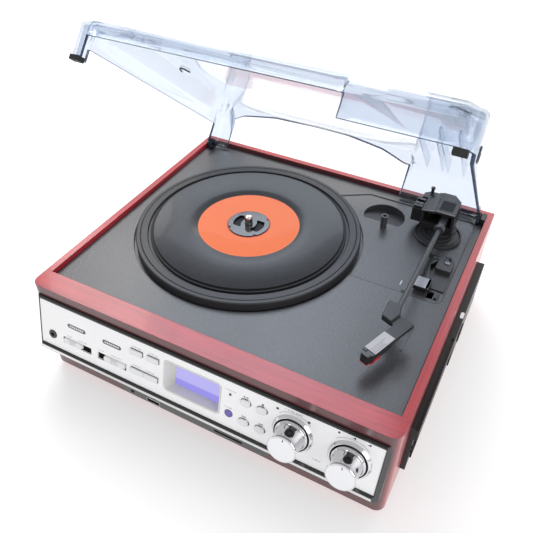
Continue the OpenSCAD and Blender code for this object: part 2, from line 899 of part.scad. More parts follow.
module stylus() {
  color("#b3242a")
    on_head() {
      box([-3.2, -head_len - 5, -8.2], [2.8, 8 - head_len, -7.4]);
      translate([0, -head_len - 2, -8.2]) rotate([180, 0, 0]) cylinder(r1 = 0.6, r2 = 0.2, h = 0.6);
    }
}

module arm_rest() {
  color("#3b3c41")
    difference() {
      union() {
        round_box([rest_left, rest_front, recess_z], [rest_right, rest_rear, rest_top], 1.5);
        box([rest_left, rest_front - 22, recess_z], [rest_right + 1, rest_front, recess_z + 1.2]);
        // Small hook beside the screw
        box([rest_left + 8, rest_rear - 1.6, rest_top - 1], [rest_left + 10, rest_rear - 0.4, rest_top + 3]);
        box([rest_left + 4.5, rest_rear - 1.6, rest_top + 1.8],
          [rest_left + 10, rest_rear - 0.4, rest_top + 3]);
        // Pin that the lever turns on
        post_x([rest_left - 5.7, lever_pin_y, lever_pin_z], lever_pin_r, 7);
      }
      post([deck_screw_x, deck_screw_y, recess_z - 1], deck_screw_r + run_clear, 12);
    }
}

module cue_lever() {
  color("#17181a")
    translate([0, 0, lever_pin_z])
      difference() {
        union() {
          post_x([rest_left - 5.4, lever_pin_y, 0], lever_hub_r, 5.1);
          translate([0, 0, -lever_t / 2])
            linear_extrude(height = lever_t)
              polygon([[pivot_x - 1, lever_rear], [pivot_x + 11.2, lever_rear],
                [pivot_x + 11.2, lever_rear - 6], [pivot_x + 6.8, lever_rear - 13.2],
                [pivot_x + 11, lever_tab_rear], [pivot_x + 2, lever_tab_rear]]);
          // Finger tab
          box([pivot_x + 1, lever_tab_front, -lever_t / 2],
            [pivot_x + 14, lever_tab_rear + 0.2, lever_t / 2 + 1]);
        }
        post_x([rest_left - 7, lever_pin_y, 0], lever_pin_r + run_clear, 9);
      }
}

module lift_platform() {
  color("#8f9298") {
    post([lift_x, lift_y, deck_under - lift_guide_h + 1], lift_post_r,
      recess_z + 4.5 - deck_under + lift_guide_h - 1);
    box([lift_x - 3.8, lift_y - 3, recess_z + 4], [lift_x + 3.8, lift_y + 3, recess_z + 5.5]);
  }
}

module speed_switch() {
  color("#101012") {
    box([switch_x1 - set_gap - switch_knob_w, switch_y0 + set_gap, deck_under + 0.4],
      [switch_x1 - set_gap, switch_y1 - set_gap, recess_z + 0.2]);
    box([switch_x1 - set_gap - 3.4, switch_y0 + set_gap + 1, recess_z],
      [switch_x1 - set_gap - 1.4, switch_y1 - set_gap - 1, recess_z + 1.4]);
  }
}

// Dust cover

module cover_form(t) {
  r = cover_corner_r - t;
  hull() {
    for (x = [-cover_side + cover_corner_r, cover_side - cover_corner_r])
      for (y = [-cover_len + cover_corner_r, -cover_corner_r + 2])
        post([x, y, t > 0 ? -5 : cover_low], r, cover_wall_h - t - (t > 0 ? -5 : cover_low), $fn = 32);
    for (x = [17 - cover_side, cover_side - 17])
      post([x, 74 - cover_len, cover_roof_h - 2 - t], 2, 1.4, $fn = 16);
    for (x = [14 - cover_side, cover_side - 14])
      post([x, -18, cover_roof_h - 2 - t], 2, 2, $fn = 16);
    for (x = [28 - cover_side, cover_side - 28])
      post([x, 26 - cover_len, cover_wall_h + 3 - 2 - t], 2, 2, $fn = 16);
  }
}

module dust_cover() {
  color("#c3d2da", 0.5)
    on_cover()
      difference() {
        union() {
          difference() {
            cover_form(0);
            cover_form(cover_t);
            // Front opening, with the legs left standing at both ends
            box([14 - cover_side, -cover_len - 1, -10], [cover_side - 85, -cover_len + 20, 23]);
            box([cover_side - 85, -cover_len - 1, -10], [cover_side + 1, -cover_len + 14, cover_leg_low]);
            box([-cover_side - 1, -cover_len - 1, -10], [15 - cover_side, -cover_len + 14, cover_leg_low]);
            // Left side opening
            box([-cover_side - 1, 21 - cover_len, -10], [-cover_side + 13, -13, 20]);
            // Rear opening with its arch
            intersection() {
              box([18 - cover_side, -17, -10], [cover_side - 80, 10, 60]);
              translate([-31, 20, cover_roof_h - 1 - 460])
                rotate([90, 0, 0])
                  cylinder(r = 460, h = 60, $fn = 360);
            }
          }
          for (m = [-1, 1])
            translate([m > 0 ? cover_side - cover_t : -cover_side, 0, 0]) {
              post_x([0, 0, 0], ear_r, cover_t);
              box([0, -ear_r - 6, 0], [cover_t, 0, 6]);
              box([0, -ear_r, 0], [cover_t, ear_r - 2.7, 4.6]);
            }
        }
        post_x([-cover_side - 5, 0, 0], hinge_pin_r + run_clear, cover_w + 10);
      }
}

module lid_feet() {
  color("#161617")
    on_cover() {
      for (x = [4 - cover_side, cover_side - 13])
        box([x, -cover_len + 0.8, cover_leg_low - cover_foot_h], [x + 9, -cover_len + 7, cover_leg_low]);
    }
}

module lid_clip() {
  color("#a7abb0")
    on_cover()
      translate([cover_side + 0.6, 0, 0]) {
        post([0, 15 - cover_len, 5], 0.6, 9);
        post([0, 19.5 - cover_len, 5], 0.6, 6);
        post_y([0, 15 - cover_len, 5], 0.6, 4.5);
        translate([0, 15 - cover_len, 5]) sphere(r = 0.6, $fn = 24);
        translate([0, 19.5 - cover_len, 5]) sphere(r = 0.6, $fn = 24);
      }
}

module hinge_blocks() {
  color("#1d1d20")
    for (m = [0, 1])
      mirror([m, 0, 0]) {
        round_box([cover_side + hinge_gap, hinge_y - 5, deck_top],
          [cover_side + hinge_gap + hinge_block_w, hinge_y + 6.5, hinge_z + 5], 1.2);
        post_x([cover_side - cover_t - 0.6, hinge_y, hinge_z], hinge_pin_r, cover_t + 1.6 + hinge_gap);
      }
}

// Control panel

module panel_section() {
  polygon([
    [front_y, housing_top_z],
    [plate_top_y - border_out / tilt_c + (housing_top_z - plate_top_z) * tilt_s / tilt_c, housing_top_z],
    [plate_top_y - border_out / tilt_c - (plate_top_z - nose_z - 0.6) * tilt_s / tilt_c, nose_z + 0.6],
    [nose_y, nose_z],
    [nose_y + 0.3, strip_low_z],
    [front_y, housing_under_z]
  ]);
}

// A point of a section through the panel: s down the slope, h out of the plate
function panel_point(s, h) = [
  plate_top_y - s * tilt_s - h * tilt_c,
  plate_top_z - s * tilt_c + h * tilt_s
];

module panel_hollow_section() {
  polygon([
    panel_point(panel_wall_top, -wall_back),
    panel_point(panel_wall_low, -wall_back),
    [nose_y + 3, nose_z - 1.4],
    [nose_y + 3, strip_low_z + 1.8],
    [front_y + 1, housing_under_z + 2.4]
  ]);
}

// Extrudes a section drawn in Y and Z across the width
module across(x0, x1) {
  translate([x0, 0, 0]) rotate([90, 0, 90]) linear_extrude(height = x1 - x0) children();
}

module key_holes(h0, h1) {
  plate_box(key_1[0] - slide_clear, key_1[1] + slide_clear, key_1[2] - slide_clear,
    key_1[3] + slide_clear, h0, h1);
  plate_box(key_2[0] - slide_clear, key_2[1] + slide_clear, key_2[2] - slide_clear,
    key_2[3] + slide_clear, h0, h1);
  plate_box(key_3[0] - slide_clear, key_4[1] + slide_clear, key_3[2] - slide_clear,
    key_3[3] + slide_clear, h0, h1);
  for (p = ovals)
    plate_oval(p, oval_w + 2 * slide_clear, oval_h + 2 * slide_clear, h0, h1);
}

module panel_housing() {
  color("#1d1d1f")
    difference() {
      union() {
        difference() {
          across(-housing_w / 2, housing_w / 2) panel_section();
          across(-housing_w / 2 + 3, housing_w / 2 - 3) panel_hollow_section();
        }
        on_plate()
          plate_box(-panel_wall_half, panel_wall_half, panel_wall_top, panel_wall_low,
            -wall_back, -plate_t);
      }
      on_plate() {
        // Seat of the silver plate
        plate_box(-plate_w / 2 - set_gap, plate_w / 2 + set_gap, -set_gap, plate_h + set_gap,
          -plate_t, 4);
        key_holes(-20, 1);
        plate_box(display_x0 - tub_wall - set_gap, display_x1 + tub_wall + set_gap,
          display_s0 - tub_wall - set_gap, display_s1 + tub_wall + set_gap, -20, 1);
        for (x = [tuning_x, volume_x])
          post([x, -knob_s, -20], knob_shaft_r + 0.6, 30);
        post([lamp_x, -lamp_s, -20], lamp_r + 0.8, 30);
        post([jack_x, -jack_s, -20], jack_r + set_gap, 30);
        plate_box(function_cap[0] + 7, function_cap[1] - 7 + function_travel + 0.6,
          function_slot[2] + 1, function_slot[3] - 1, -20, 1);
        plate_box(band_cap[0] + 7 - band_travel_left - 0.6, band_cap[1] - 7 + band_travel_right + 0.6,
          band_slot[2] + 1, band_slot[3] - 1, -20, 1);
        // Bevels at both ends
        for (m = [0, 1])
          mirror([m, 0, 0])
            translate([plate_w / 2 + 0.5, 0, border_out + 0.1])
              rotate([0, 45, 0])
                box([-2, -60, 0], [12, 14, 12]);
      }
    }
}

module front_plate() {
  color("#eceded")
    on_plate()
      difference() {
        plate_box(-plate_w / 2, plate_w / 2, 0, plate_h, -plate_t, 0);
        key_holes(-10, 10);
        plate_round_box(display_x0 - tub_wall - set_gap, display_x1 + tub_wall + set_gap,
          display_s0 - tub_wall - set_gap, display_s1 + tub_wall + set_gap, -10, 10,
          display_corner_r + tub_wall);
        for (x = [tuning_x, volume_x])
          post([x, -knob_s, -10], bezel_inner_r, 20);
        post([lamp_x, -lamp_s, -10], lamp_r + 0.1, 20);
        post([remote_x, -remote_s, -10], remote_r + set_gap, 20);
        post([jack_x, -jack_s, -10], jack_r + set_gap, 20);
        plate_box(function_slot[0], function_slot[1], function_slot[2], function_slot[3], -10, 10);
        plate_box(band_slot[0], band_slot[1], band_slot[2], band_slot[3], -10, 10);
      }
}

module knob_bezels() {
  color("#dfe0e2")
    on_plate()
      for (x = [tuning_x, volume_x])
        translate([x, -knob_s, 0])
          rotate_extrude()
            polygon([
              [bezel_inner_r, 0],
              [bezel_outer_r, 0],
              [bezel_outer_r - 0.4, 0.6],
              [bezel_inner_r + 0.6, 2],
              [bezel_inner_r, 2]
            ]);
}

module display_tub() {
  color("#cfd1d6")
    on_plate()
      difference() {
        plate_round_box(display_x0 - tub_wall, display_x1 + tub_wall, display_s0 - tub_wall,
          display_s1 + tub_wall, -board_gap, 0, display_corner_r + tub_wall - set_gap);
        plate_round_box(display_x0, display_x1, display_s0, display_s1, -display_deep, 5,
          display_corner_r);
      }
}

module display_glass() {
  color("#8f86ff")
    on_plate()
      plate_box(display_glass_x0, display_x1 - 1.2, display_glass_s0, display_s1 - 1.6,
        -display_deep, -display_deep + 1.2);
}

module remote_window() {
  color("#5b3a8c")
    on_plate()
      post([remote_x, -remote_s, -plate_t], remote_r, plate_t + 0.4);
}

module headphone_jack() {
  color("#2a2b2d")
    on_plate()
      translate([jack_x, -jack_s, 0])
        difference() {
          union() {
            post([0, 0, -board_gap], jack_r, board_gap + 0.6);
          }
          post([0, 0, -jack_bore_len + 0.6], jack_bore_r, jack_bore_len + 1);
        }
}

module control_circuit_board() {
  color("#3f6b45")
    on_plate() {
      difference() {
        plate_box(1.5 - panel_wall_half, panel_wall_half - 1.5, panel_wall_top + 0.7, panel_wall_low - 1.5,
          -board_gap - board_t2, -board_gap);
        for (x = [tuning_x, volume_x])
          post([x, -knob_s, -board_gap - 3], knob_shaft_r + 0.3, 5);
      }
      // Rotary controls behind the knobs
      for (x = [tuning_x, volume_x])
        difference() {
          post([x, -knob_s, -board_gap], pot_r, board_gap - wall_back);
          post([x, -knob_s, -board_gap - 1], knob_shaft_r + run_clear, board_gap + 2);
        }
      // Push switches behind the buttons
      for (p = keys)
        plate_box((p[0] + p[1]) / 2 - 3, (p[0] + p[1]) / 2 + 3, (p[2] + p[3]) / 2 - 3,
          (p[2] + p[3]) / 2 + 3, -board_gap, -board_gap + 3.4);
      for (p = ovals)
        plate_box(p[0] - 3, p[0] + 3, p[1] - 3, p[1] + 3, -board_gap, -board_gap + 3.4);
      // Slide switches
      for (p = [function_slot, band_slot])
        plate_box(p[0] + 2, p[1] - 2, p[2] - 1, p[3] + 1, -board_gap, -board_gap + 3);
      // Power lamp on its legs
      post([lamp_x, -lamp_s, -board_gap], lamp_r, board_gap + 0.4);
    }
}

// A key with its plunger
module key_button(p) {
  color("#f0f1f1")
    on_plate() {
      plate_box(p[0], p[1], p[2], p[3], -1.2, button_rise);
      post([(p[0] + p[1]) / 2, -(p[2] + p[3]) / 2, -board_gap + 3.7 + button_travel], 1.4,
        board_gap - 3.7 - button_travel - 1);
    }
}

module oval_button(p) {
  color("#f0f1f1")
    on_plate() {
      plate_oval(p, oval_w, oval_h, -1.2, button_rise);
      post([p[0], -p[1], -board_gap + 3.7 + button_travel], 1.4, board_gap - 3.7 - button_travel - 1);
    }
}

// A slide switch cap with its grip ridge and its tongue
module slide_cap(cap, slot, h_low) {
  mid = (cap[0] + cap[1]) / 2;
  plate_box(cap[0], cap[1], slot[2] + slide_clear, slot[3] - slide_clear, -plate_t + 0.2, 0.5);
  plate_box(mid - 1.2, mid + 1.2, slot[2] + slide_clear + 0.4, slot[3] - slide_clear - 0.4, 0, cap_rise);
  plate_box(mid - stem_w / 2 + 1, mid + stem_w / 2 - 1, slot[2] + 1.6, slot[3] - 1.6, h_low, 0);
}

module function_knob() {
  color("#f0f1f1") on_plate() slide_cap(function_cap, function_slot, -board_gap + 3.3);
}

module band_knob() {
  color("#f0f1f1") on_plate() slide_cap(band_cap, band_slot, -board_gap + 3.3);
}

module control_knob(x) {
  color("#d9dbde")
    on_plate()
      translate([x, -knob_s, 0]) {
        post([0, 0, -board_gap + 0.4], knob_shaft_r, board_gap + 1);
        difference() {
          rotate_extrude()
            polygon([
              [0, 0.6],
              [knob_skirt_r - 1, 0.6],
              [knob_skirt_r, 1.4],
              [knob_skirt_r, 2.4],
              [knob_skirt_r - 0.6, 3],
              [knob_face_r - 0.2, 3.4],
              [knob_face_r - 1.2, 6],
              [knob_face_r - 1.3, 11],
              [knob_face_r - 0.8, 15],
              [knob_face_r, 17],
              [knob_face_r, knob_h - 0.5],
              [knob_face_r - 0.5, knob_h],
              [0, knob_h]
            ]);
          // Pointer notch in the rim of the face
          translate([0, knob_face_r, knob_h - 4]) cylinder(r = 0.8, h = 6);
        }
      }
}

module tuning_knob() {
  control_knob(tuning_x);
}

module volume_knob() {
  control_knob(volume_x);
}

// Pod with the sockets

module socket_pod() {
  color("#222224")
    difference() {
      intersection() {
        across(pod_top_x0 - 5, pod_top_x1 + 5)
          polygon([
            [front_y, pod_low_z],
            [pod_face_y, pod_low_z],
            [pod_face_y - 0.2, strip_low_z - 0.1],
            [front_y, housing_under_z - 0.1]
          ]);
        translate([0, front_y + 5, 0])
          rotate([90, 0, 0])
            linear_extrude(height = 40)
              polygon([
                [pod_low_x0, pod_low_z - 1],
                [pod_low_x1, pod_low_z - 1],
                [pod_top_x1, strip_low_z + 1],
                [pod_top_x0, strip_low_z + 1]
              ]);
      }
      box([usb_x - usb_w / 2 - set_gap, pod_face_y - 2, usb_z - usb_h / 2 - set_gap],
        [usb_x + usb_w / 2 + set_gap, front_y + 2, usb_z + usb_h / 2 + set_gap]);
      box([card_x0, pod_face_y - 2, line_in_z - card_h / 2], [card_x1, front_y - 1, line_in_z + card_h / 2]);
      post_y([line_in_x, pod_face_y - 2, line_in_z], jack_bore_r, jack_bore_len + 2);
    }
}

module usb_socket() {
  color("#b9bcc0") {
    difference() {
      box([usb_x - usb_w / 2, pod_face_y - 0.3, usb_z - usb_h / 2],
        [usb_x + usb_w / 2, pod_face_y + usb_deep, usb_z + usb_h / 2]);
      box([usb_x - usb_w / 2 + 0.5, pod_face_y - 1, usb_z - usb_h / 2 + 0.5],
        [usb_x + usb_w / 2 - 0.5, pod_face_y + usb_deep - 1, usb_z + usb_h / 2 - 0.5]);
    }
    box([usb_x - 5.3, pod_face_y + 0.6, usb_z], [usb_x + 5.3, pod_face_y + usb_deep - 0.5, usb_z + 1.7]);
  }
}

// Cassette unit

module side_fascia() {
  color("#1b1b1d")
    difference() {
      union() {
        box([fascia_x, fascia_front, fascia_low], [fascia_x + fascia_t, fascia_rear, fascia_high]);
        // Rail over the slot, with two long ribs on top, and the block beside the slot
        box([fascia_x, fascia_front, rail_low],
          [fascia_x + fascia_block_out, fascia_rear, fascia_high - rail_rib_h]);
        box([fascia_x + fascia_block_out - 1.2, fascia_front, rail_low],
          [fascia_x + fascia_block_out, fascia_rear, fascia_high]);
        box([fascia_x, block_front, rail_low], [fascia_x + fascia_block_out, fascia_rear, fascia_high]);
        box([fascia_x, block_low_front, fascia_low + 6],
          [fascia_x + fascia_block_out, fascia_rear, fascia_high]);
        // Long rib under the slot
        box([fascia_x, fascia_front + 6, slot_z0 - 9],
          [fascia_x + fascia_t + 1.5, block_low_front, slot_z0 - 6]);
        // Small pins near the front
        for (z = [slot_z0 + 4, slot_z1 - 6])
          post_x([fascia_x, fascia_front + 2.4, z], 1.4, fascia_t + 1.6);
      }
      box([fascia_x - 1, slot_y0, slot_z0], [fascia_x + 20, slot_y1, slot_z1]);
      post_y([door_pin_x, slot_y0 - 2.2, door_pin_z], door_pin_r + run_clear, slot_w + 4.4);
      box([fascia_x - 1, eject_y0 - slide_clear, eject_z0 - slide_clear],
        [fascia_x + 20, eject_y1 + slide_clear, eject_z1 + slide_clear]);
    }
}

module cassette_door() {
  color("#232326") {
    box([door_pin_x - door_t / 2, slot_y0 + slide_clear, slot_z0 + 0.3],
      [door_pin_x + door_t / 2, slot_y1 - slide_clear, door_pin_z]);
    post_y([door_pin_x, slot_y0 + slide_clear, door_pin_z], door_t / 2, slot_w - 2 * slide_clear);
    post_y([door_pin_x, slot_y0 - 1.9, door_pin_z], door_pin_r, slot_w + 3.8);
  }
}

module cassette_mechanism() {
  color("#6c6f74") {
    difference() {
      box([fascia_x - set_gap - mech_depth, slot_y0 - mech_wall, slot_z0 - mech_floor],
        [fascia_x - set_gap, slot_y1 + mech_wall, slot_z1 + mech_floor]);
      box([fascia_x - set_gap - mech_depth + mech_wall, slot_y0, slot_z0],
        [fascia_x + 1, slot_y1, slot_z1]);
    }
    // Hub pegs that drive the reels
    for (k = [-1, 1])
      post([fascia_x - 38, (slot_y0 + slot_y1) / 2 + k * 21.25, slot_z0 - 1], 2.6, 6.5);
  }
}

module eject_button() {
  color("#2c2d30")
    box([inner_side + 4, eject_y0, eject_z0], [fascia_x + fascia_block_out + eject_out, eject_y1, eject_z1]);
}

// Parts inside the cabinet

module main_circuit_board() {
  color("#3f6b45") {
    box([-main_board_half, main_board_front, main_board_z],
      [main_board_half, main_board_rear, main_board_z + board_t2]);
    for (x = [5 - main_board_half, main_board_half - 5], y = [main_board_front + 5, main_board_rear - 5])
      post([x, y, base_top], 3, main_board_z - base_top + 0.5);
    for (x = [-40, 0, 30])
      box([x, main_board_front + 25, main_board_z], [x + 16, main_board_front + 50, main_board_z + 8]);
    // Transformer
    box([transformer_left, transformer_front, base_top],
      [transformer_left + transformer_w, transformer_front + transformer_d, base_top + 36]);
    box([transformer_left + 10, transformer_front - 6, base_top + 6],
      [transformer_left + transformer_w - 10, transformer_front + transformer_d + 6, base_top + 30]);
  }
}

module speakers() {
  color("#3a3a3c")
    for (p = speaker_pos)
      translate([p[0], p[1], base_top]) {
        difference() {
          rotate_extrude()
            polygon([[0, 6], [speaker_r - 13, 3], [speaker_r - 4, 0], [speaker_r, 0], [speaker_r, 2],
              [speaker_r - 3, 4], [16, 14], [16, 26], [0, 26]]);
        }
      }
}

module rear_socket_plate() {
  color("#26262a")
    difference() {
      union() {
        box([rear_plate_x0, rear_y, rear_plate_z0], [rear_plate_x1, rear_y + rear_plate_t, rear_plate_z1]);
        for (x = [rear_plate_x0 + 14, rear_plate_x0 + 32])
          post_y([x, rear_y, rear_plate_z0 + 17], 4.15, 9);
        post_y([rear_plate_x1 - 11, rear_y, rear_plate_z0 + 10], 5, 6);
      }
      for (x = [rear_plate_x0 + 14, rear_plate_x0 + 32])
        post_y([x, rear_y - 1, rear_plate_z0 + 17], 1.6, 12);
      post_y([rear_plate_x1 - 11, rear_y - 1, rear_plate_z0 + 10], 2.8, 12);
    }
}

front_board();
left_side_board();
right_side_board();
rear_board();
base_board();
feet();
screws();
top_deck();
spindle_bearing();
drive_motor();
drive_belt();
arm_base();
arm_rest();
main_circuit_board();
control_circuit_board();
cassette_mechanism();
speakers();
rear_socket_plate();
panel_housing();
front_plate();
knob_bezels();
display_tub();
display_glass();
remote_window();
headphone_jack();
socket_pod();
usb_socket();
side_fascia();
hinge_blocks();
spindle();
platter();
slip_mat();
record();
record_adapter();
motor_pulley();
arm_turret();
arm_tube();
headshell();
cartridge();
stylus();
cue_lever();
lift_platform();
speed_switch();
dust_cover();
lid_feet();
lid_clip();
tuning_knob();
volume_knob();
function_knob();
band_knob();
key_button(key_1);  // key_button_1
key_button(key_2);  // key_button_2
key_button(key_3);  // key_button_3
key_button(key_4);  // key_button_4
oval_button(oval_1);  // oval_button_1
oval_button(oval_2);  // oval_button_2
oval_button(oval_3);  // oval_button_3
oval_button(oval_4);  // oval_button_4
cassette_door();
eject_button();
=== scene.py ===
"""A stereo music centre: record player, radio, cassette and memory-card player in one wooden cabinet.

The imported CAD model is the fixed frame. This script dresses it, one operator for each piece or
group of like pieces, and adds the stage. Lengths are in millimetres until a form becomes a mesh.
"""

import math

import bmesh
import bpy
from mathutils import Matrix, Vector


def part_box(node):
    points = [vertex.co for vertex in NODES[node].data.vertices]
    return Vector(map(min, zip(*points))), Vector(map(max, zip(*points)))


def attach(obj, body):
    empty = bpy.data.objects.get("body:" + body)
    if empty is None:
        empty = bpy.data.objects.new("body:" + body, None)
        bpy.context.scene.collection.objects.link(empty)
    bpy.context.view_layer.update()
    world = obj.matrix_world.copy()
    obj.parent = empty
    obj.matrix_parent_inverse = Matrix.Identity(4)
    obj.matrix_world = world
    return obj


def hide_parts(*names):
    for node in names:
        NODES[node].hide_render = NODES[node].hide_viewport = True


bl_info = {
    "name": "Stereo music centre",
    "version": (1, 0, 0),
    "blender": (4, 5, 0),
    "location": "View3D > Sidebar > Music centre",
    "description": "Dresses the CAD model of a stereo music centre and sets its stage",
    "category": "Object",
}

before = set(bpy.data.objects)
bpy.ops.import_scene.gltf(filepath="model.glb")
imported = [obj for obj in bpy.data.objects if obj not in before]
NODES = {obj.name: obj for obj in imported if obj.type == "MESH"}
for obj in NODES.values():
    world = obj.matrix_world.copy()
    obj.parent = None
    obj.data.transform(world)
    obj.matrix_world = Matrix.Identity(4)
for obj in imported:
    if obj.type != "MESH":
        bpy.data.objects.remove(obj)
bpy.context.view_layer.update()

# Levels and places: x runs to the right, y to the rear and z up from the table
MM = 0.001
RECESS_TOP = 97.7
DECK_TOP = 98.5
RECESS_LOW, RECESS_HIGH, RECESS_CORNER = (54.0, -1.3), (147.0, 122.3), 6.0
# Width of the painted shadow line round the deck's recess
SEAM_SHADOW_WIDTH = 0.45
ADAPTER_POST = (71, 77, 0)
SPINDLE = (-37.3, 11.5)
MAT_TOP = 104.8
RECORD_TOP = 106.4
HOLE_RADIUS, LABEL_RADIUS, RUN_OUT_RADIUS, RECORD_RADIUS = 19.05, 46.8, 57.5, 87.5
ARM_BASE = (119.5, 88.5, 0)
PIVOT_Y = 98.0
TUBE_X = 122.5
TUBE_Z = 118.0
TUBE_FRONT = -41.0
TURRET_LOW, TURRET_TOP = 104.2, 126.4
TURRET_SPLIT, TURRET_SLOPE = 113, 0.16

# Places on the panel plate: x runs to the right and s down the plate from its upper edge
KNOBS = (86.5, 130.5)
KNOB_S = 22.0
KEYS = ((-57.4, -46.0, 9.8, 14.5), (-41.2, -30.4, 9.6, 14.3), (-57.0, -30.7, 28.1, 32.9))
OVALS = ((47.4, 13.1), (61.0, 13.3), (47.6, 31.7), (61.2, 31.7))
OVAL_ACROSS, OVAL_DOWN = 4.12, 3.02
# Width of the painted shadow beside each button
BUTTON_GAP_SHADOW = 0.6
CAPS = {"function": (-128.0, -107.2, 29.15, 35.15), "band": (-85.0, -62.5, 28.85, 35.15)}

# The closed cover: x runs to the right, a ahead of the hinge and z up from it
HALF_COVER = 149.5
COVER_LENGTH = 251.0
COVER_CORNER = 12.0
COVER_REAR = -2.0
COVER_START = 2.0
COVER_POINTS = 15
WALL_TOP = 34.5
ROOF = 46.5
FRONT_RIDGE, FRONT_TOP = (121.5, 225, 37.5), (132.5, 177, ROOF)
REAR_RIDGE, REAR_TOP = (142.5, 8, 40.5), (135.5, 18, ROOF)
EDGE_LOW, EDGE_FRONT, EDGE_FINGER = 2.2, 7.2, 23.0
FINGER_GAP = (-135.5, 64.5)
LEFT_GAP = ((13.0, 22.0), (230.0, 17.5))
REAR_ARCH = (
    (-131, 35.5), (-114, 40), (-78, 44.7), (-30, 45.8), (4, 45.5), (39, 41.8), (62, 35.5), (69.5, 34.8),
)

PLATE = Matrix.Translation((0, -142.14, 90.3)) @ Matrix.Rotation(math.radians(76), 4, "X")
COVER = Matrix.Translation((0, 127, 100)) @ Matrix.Rotation(math.radians(-41), 4, "X")
JOINT = Matrix.Translation((TUBE_X, TUBE_FRONT, TUBE_Z))
HEAD_PLACE = Matrix.Translation((133.3, -50, TUBE_Z))
HEAD = HEAD_PLACE @ Matrix.Rotation(math.radians(-20), 4, "Z")

# Rules of the mesh
SHARP_ANGLE = math.radians(34)
BEVEL_ANGLE = math.radians(40)
AXIS_RADIUS = 0.01
TINY = 1e-9

# The camera, in metres and degrees
CAMERA_PLACE = (0.18230, -0.36944, 0.43983)
CAMERA_TURN = (27.813, 48.713, 0.2505)
CAMERA_LENS = 40.19
SENSOR = 36.0

# Values of the finishes
ACRYLIC_IOR = 1.49
# Dark red-brown painted on the cabinet's front faces as shade
FRONT_PAINTED_SHADE = (0.10, 0.022, 0.026)


# Shapes


def arc(centre, radius, start, end, count):
    """Points on an arc, angles in degrees."""
    turns = [math.radians(start + (end - start) * i / (count - 1)) for i in range(count)]
    return [(centre[0] + radius * math.cos(t), centre[1] + radius * math.sin(t)) for t in turns]


def circle(radius, count):
    """Points on a full circle round the origin."""
    return arc((0, 0), radius, 0, 360 * (count - 1) / count, count)


def rounded(low, high, radius, count=7):
    """The outline of a rectangle with round corners."""
    (x0, y0), (x1, y1) = low, high
    corners = [(x1, y1, 0), (x0, y1, 90), (x0, y0, 180), (x1, y0, 270)]
    points = []
    for x, y, start in corners:
        centre = (x - radius if x == x1 else x + radius, y - radius if y == y1 else y + radius)
        points += arc(centre, radius, start, start + 90, count)
    return points


def oval(centre, across, down, start, end, count=12):
    """Points on a part of an oval, angles in degrees."""
    return [(centre[0] + u * across, centre[1] + v * down) for u, v in arc((0, 0), 1, start, end, count)]


def band(centre, inner, outer, start, end, count=24):
    """The outline of a part of a ring."""
    return arc(centre, outer, start, end, count) + arc(centre, inner, end, start, count)


def softened(points, cuts, count=4):
    """An open line with its inner corners cut back and rounded."""
    line = [Vector(points[0])]
    for before, corner, after, cut in zip(points, points[1:], points[2:], cuts):
        before, corner, after = Vector(before), Vector(corner), Vector(after)
        back, ahead = before - corner, after - corner
        start = corner + back * min(0.49, cut / max(back.length, 1e-6))
        end = corner + ahead * min(0.49, cut / max(ahead.length, 1e-6))
        for i in range(count + 1):
            t = i / count
            line.append(start * (1 - t) ** 2 + corner * 2 * t * (1 - t) + end * t**2)
    line.append(Vector(points[-1]))
    return line


class Form:
    """A piece's mesh, gathered from simple solids in its own frame."""

    def __init__(self, matrix=None):
        self.mesh = bmesh.new()
        self.matrix = matrix or Matrix()

    def loft(self, loops, closed=False, capped=True):
        """Joins loops of equal length into one skin."""
        rows = [[self.mesh.verts.new((self.matrix @ Vector(p)) * MM) for p in loop] for loop in loops]
        size = len(rows[0])
        ends = rows[1:] + rows[:1] if closed else rows[1:]
        for near, far in zip(rows, ends):
            for i in range(size):
                j = (i + 1) % size
                self.mesh.faces.new((near[i], near[j], far[j], far[i]))
        if capped and not closed:
            self.mesh.faces.new(rows[0][::-1])
            self.mesh.faces.new(rows[-1])
        return self

    def prism(self, outline, low, high, top=None):
        """An outline across X and Y, raised from low to high, with another outline on top."""
        return self.loft([[(x, y, low) for x, y in outline], [(x, y, high) for x, y in top or outline]])

    def box(self, low, high):
        """A box between two opposite corners."""
        x0, y0, z0 = low
        x1, y1, z1 = high
        return self.prism([(x0, y0), (x1, y0), (x1, y1), (x0, y1)], z0, z1)

    def round_box(self, low, high, radius, inset=0.0):
        """A box with round upright corners, drawn in by inset at the top."""
        base = rounded(low[:2], high[:2], radius)
        top = rounded((low[0] + inset, low[1] + inset), (high[0] - inset, high[1] - inset), radius)
        return self.prism(base, low[2], high[2], top)

    def lathe(self, profile, centre=(0, 0, 0), count=64, turn=None, ring=False):
        """Turns a line of (radius, height) round an axis through centre."""
        place = Matrix.Translation(centre) @ (turn or Matrix())
        loops = [
            [place @ Vector((x, y, height)) for x, y in circle(max(radius, AXIS_RADIUS), count)]
            for radius, height in profile
        ]
        return self.loft(loops, closed=ring)

    def rod(self, start, end, radius, end_radius=None, count=24):
        """A straight round bar between two points."""
        start, end = Vector(start), Vector(end)
        turn = (end - start).to_track_quat("Z", "Y").to_matrix().to_4x4()
        length = (end - start).length
        last = radius if end_radius is None else end_radius
        return self.lathe([(radius, 0), (last, length)], start, count, turn)

    def wire(self, points, radius, count=10):
        """A bent round wire."""
        points = [Vector(p) for p in points]
        loops = []
        for i, point in enumerate(points):
            along = points[min(i + 1, len(points) - 1)] - points[max(i - 1, 0)]
            turn = along.to_track_quat("Z", "Y").to_matrix()
            loops.append([point + turn @ Vector((x, y, 0)) for x, y in circle(radius, count)])
        return self.loft(loops)


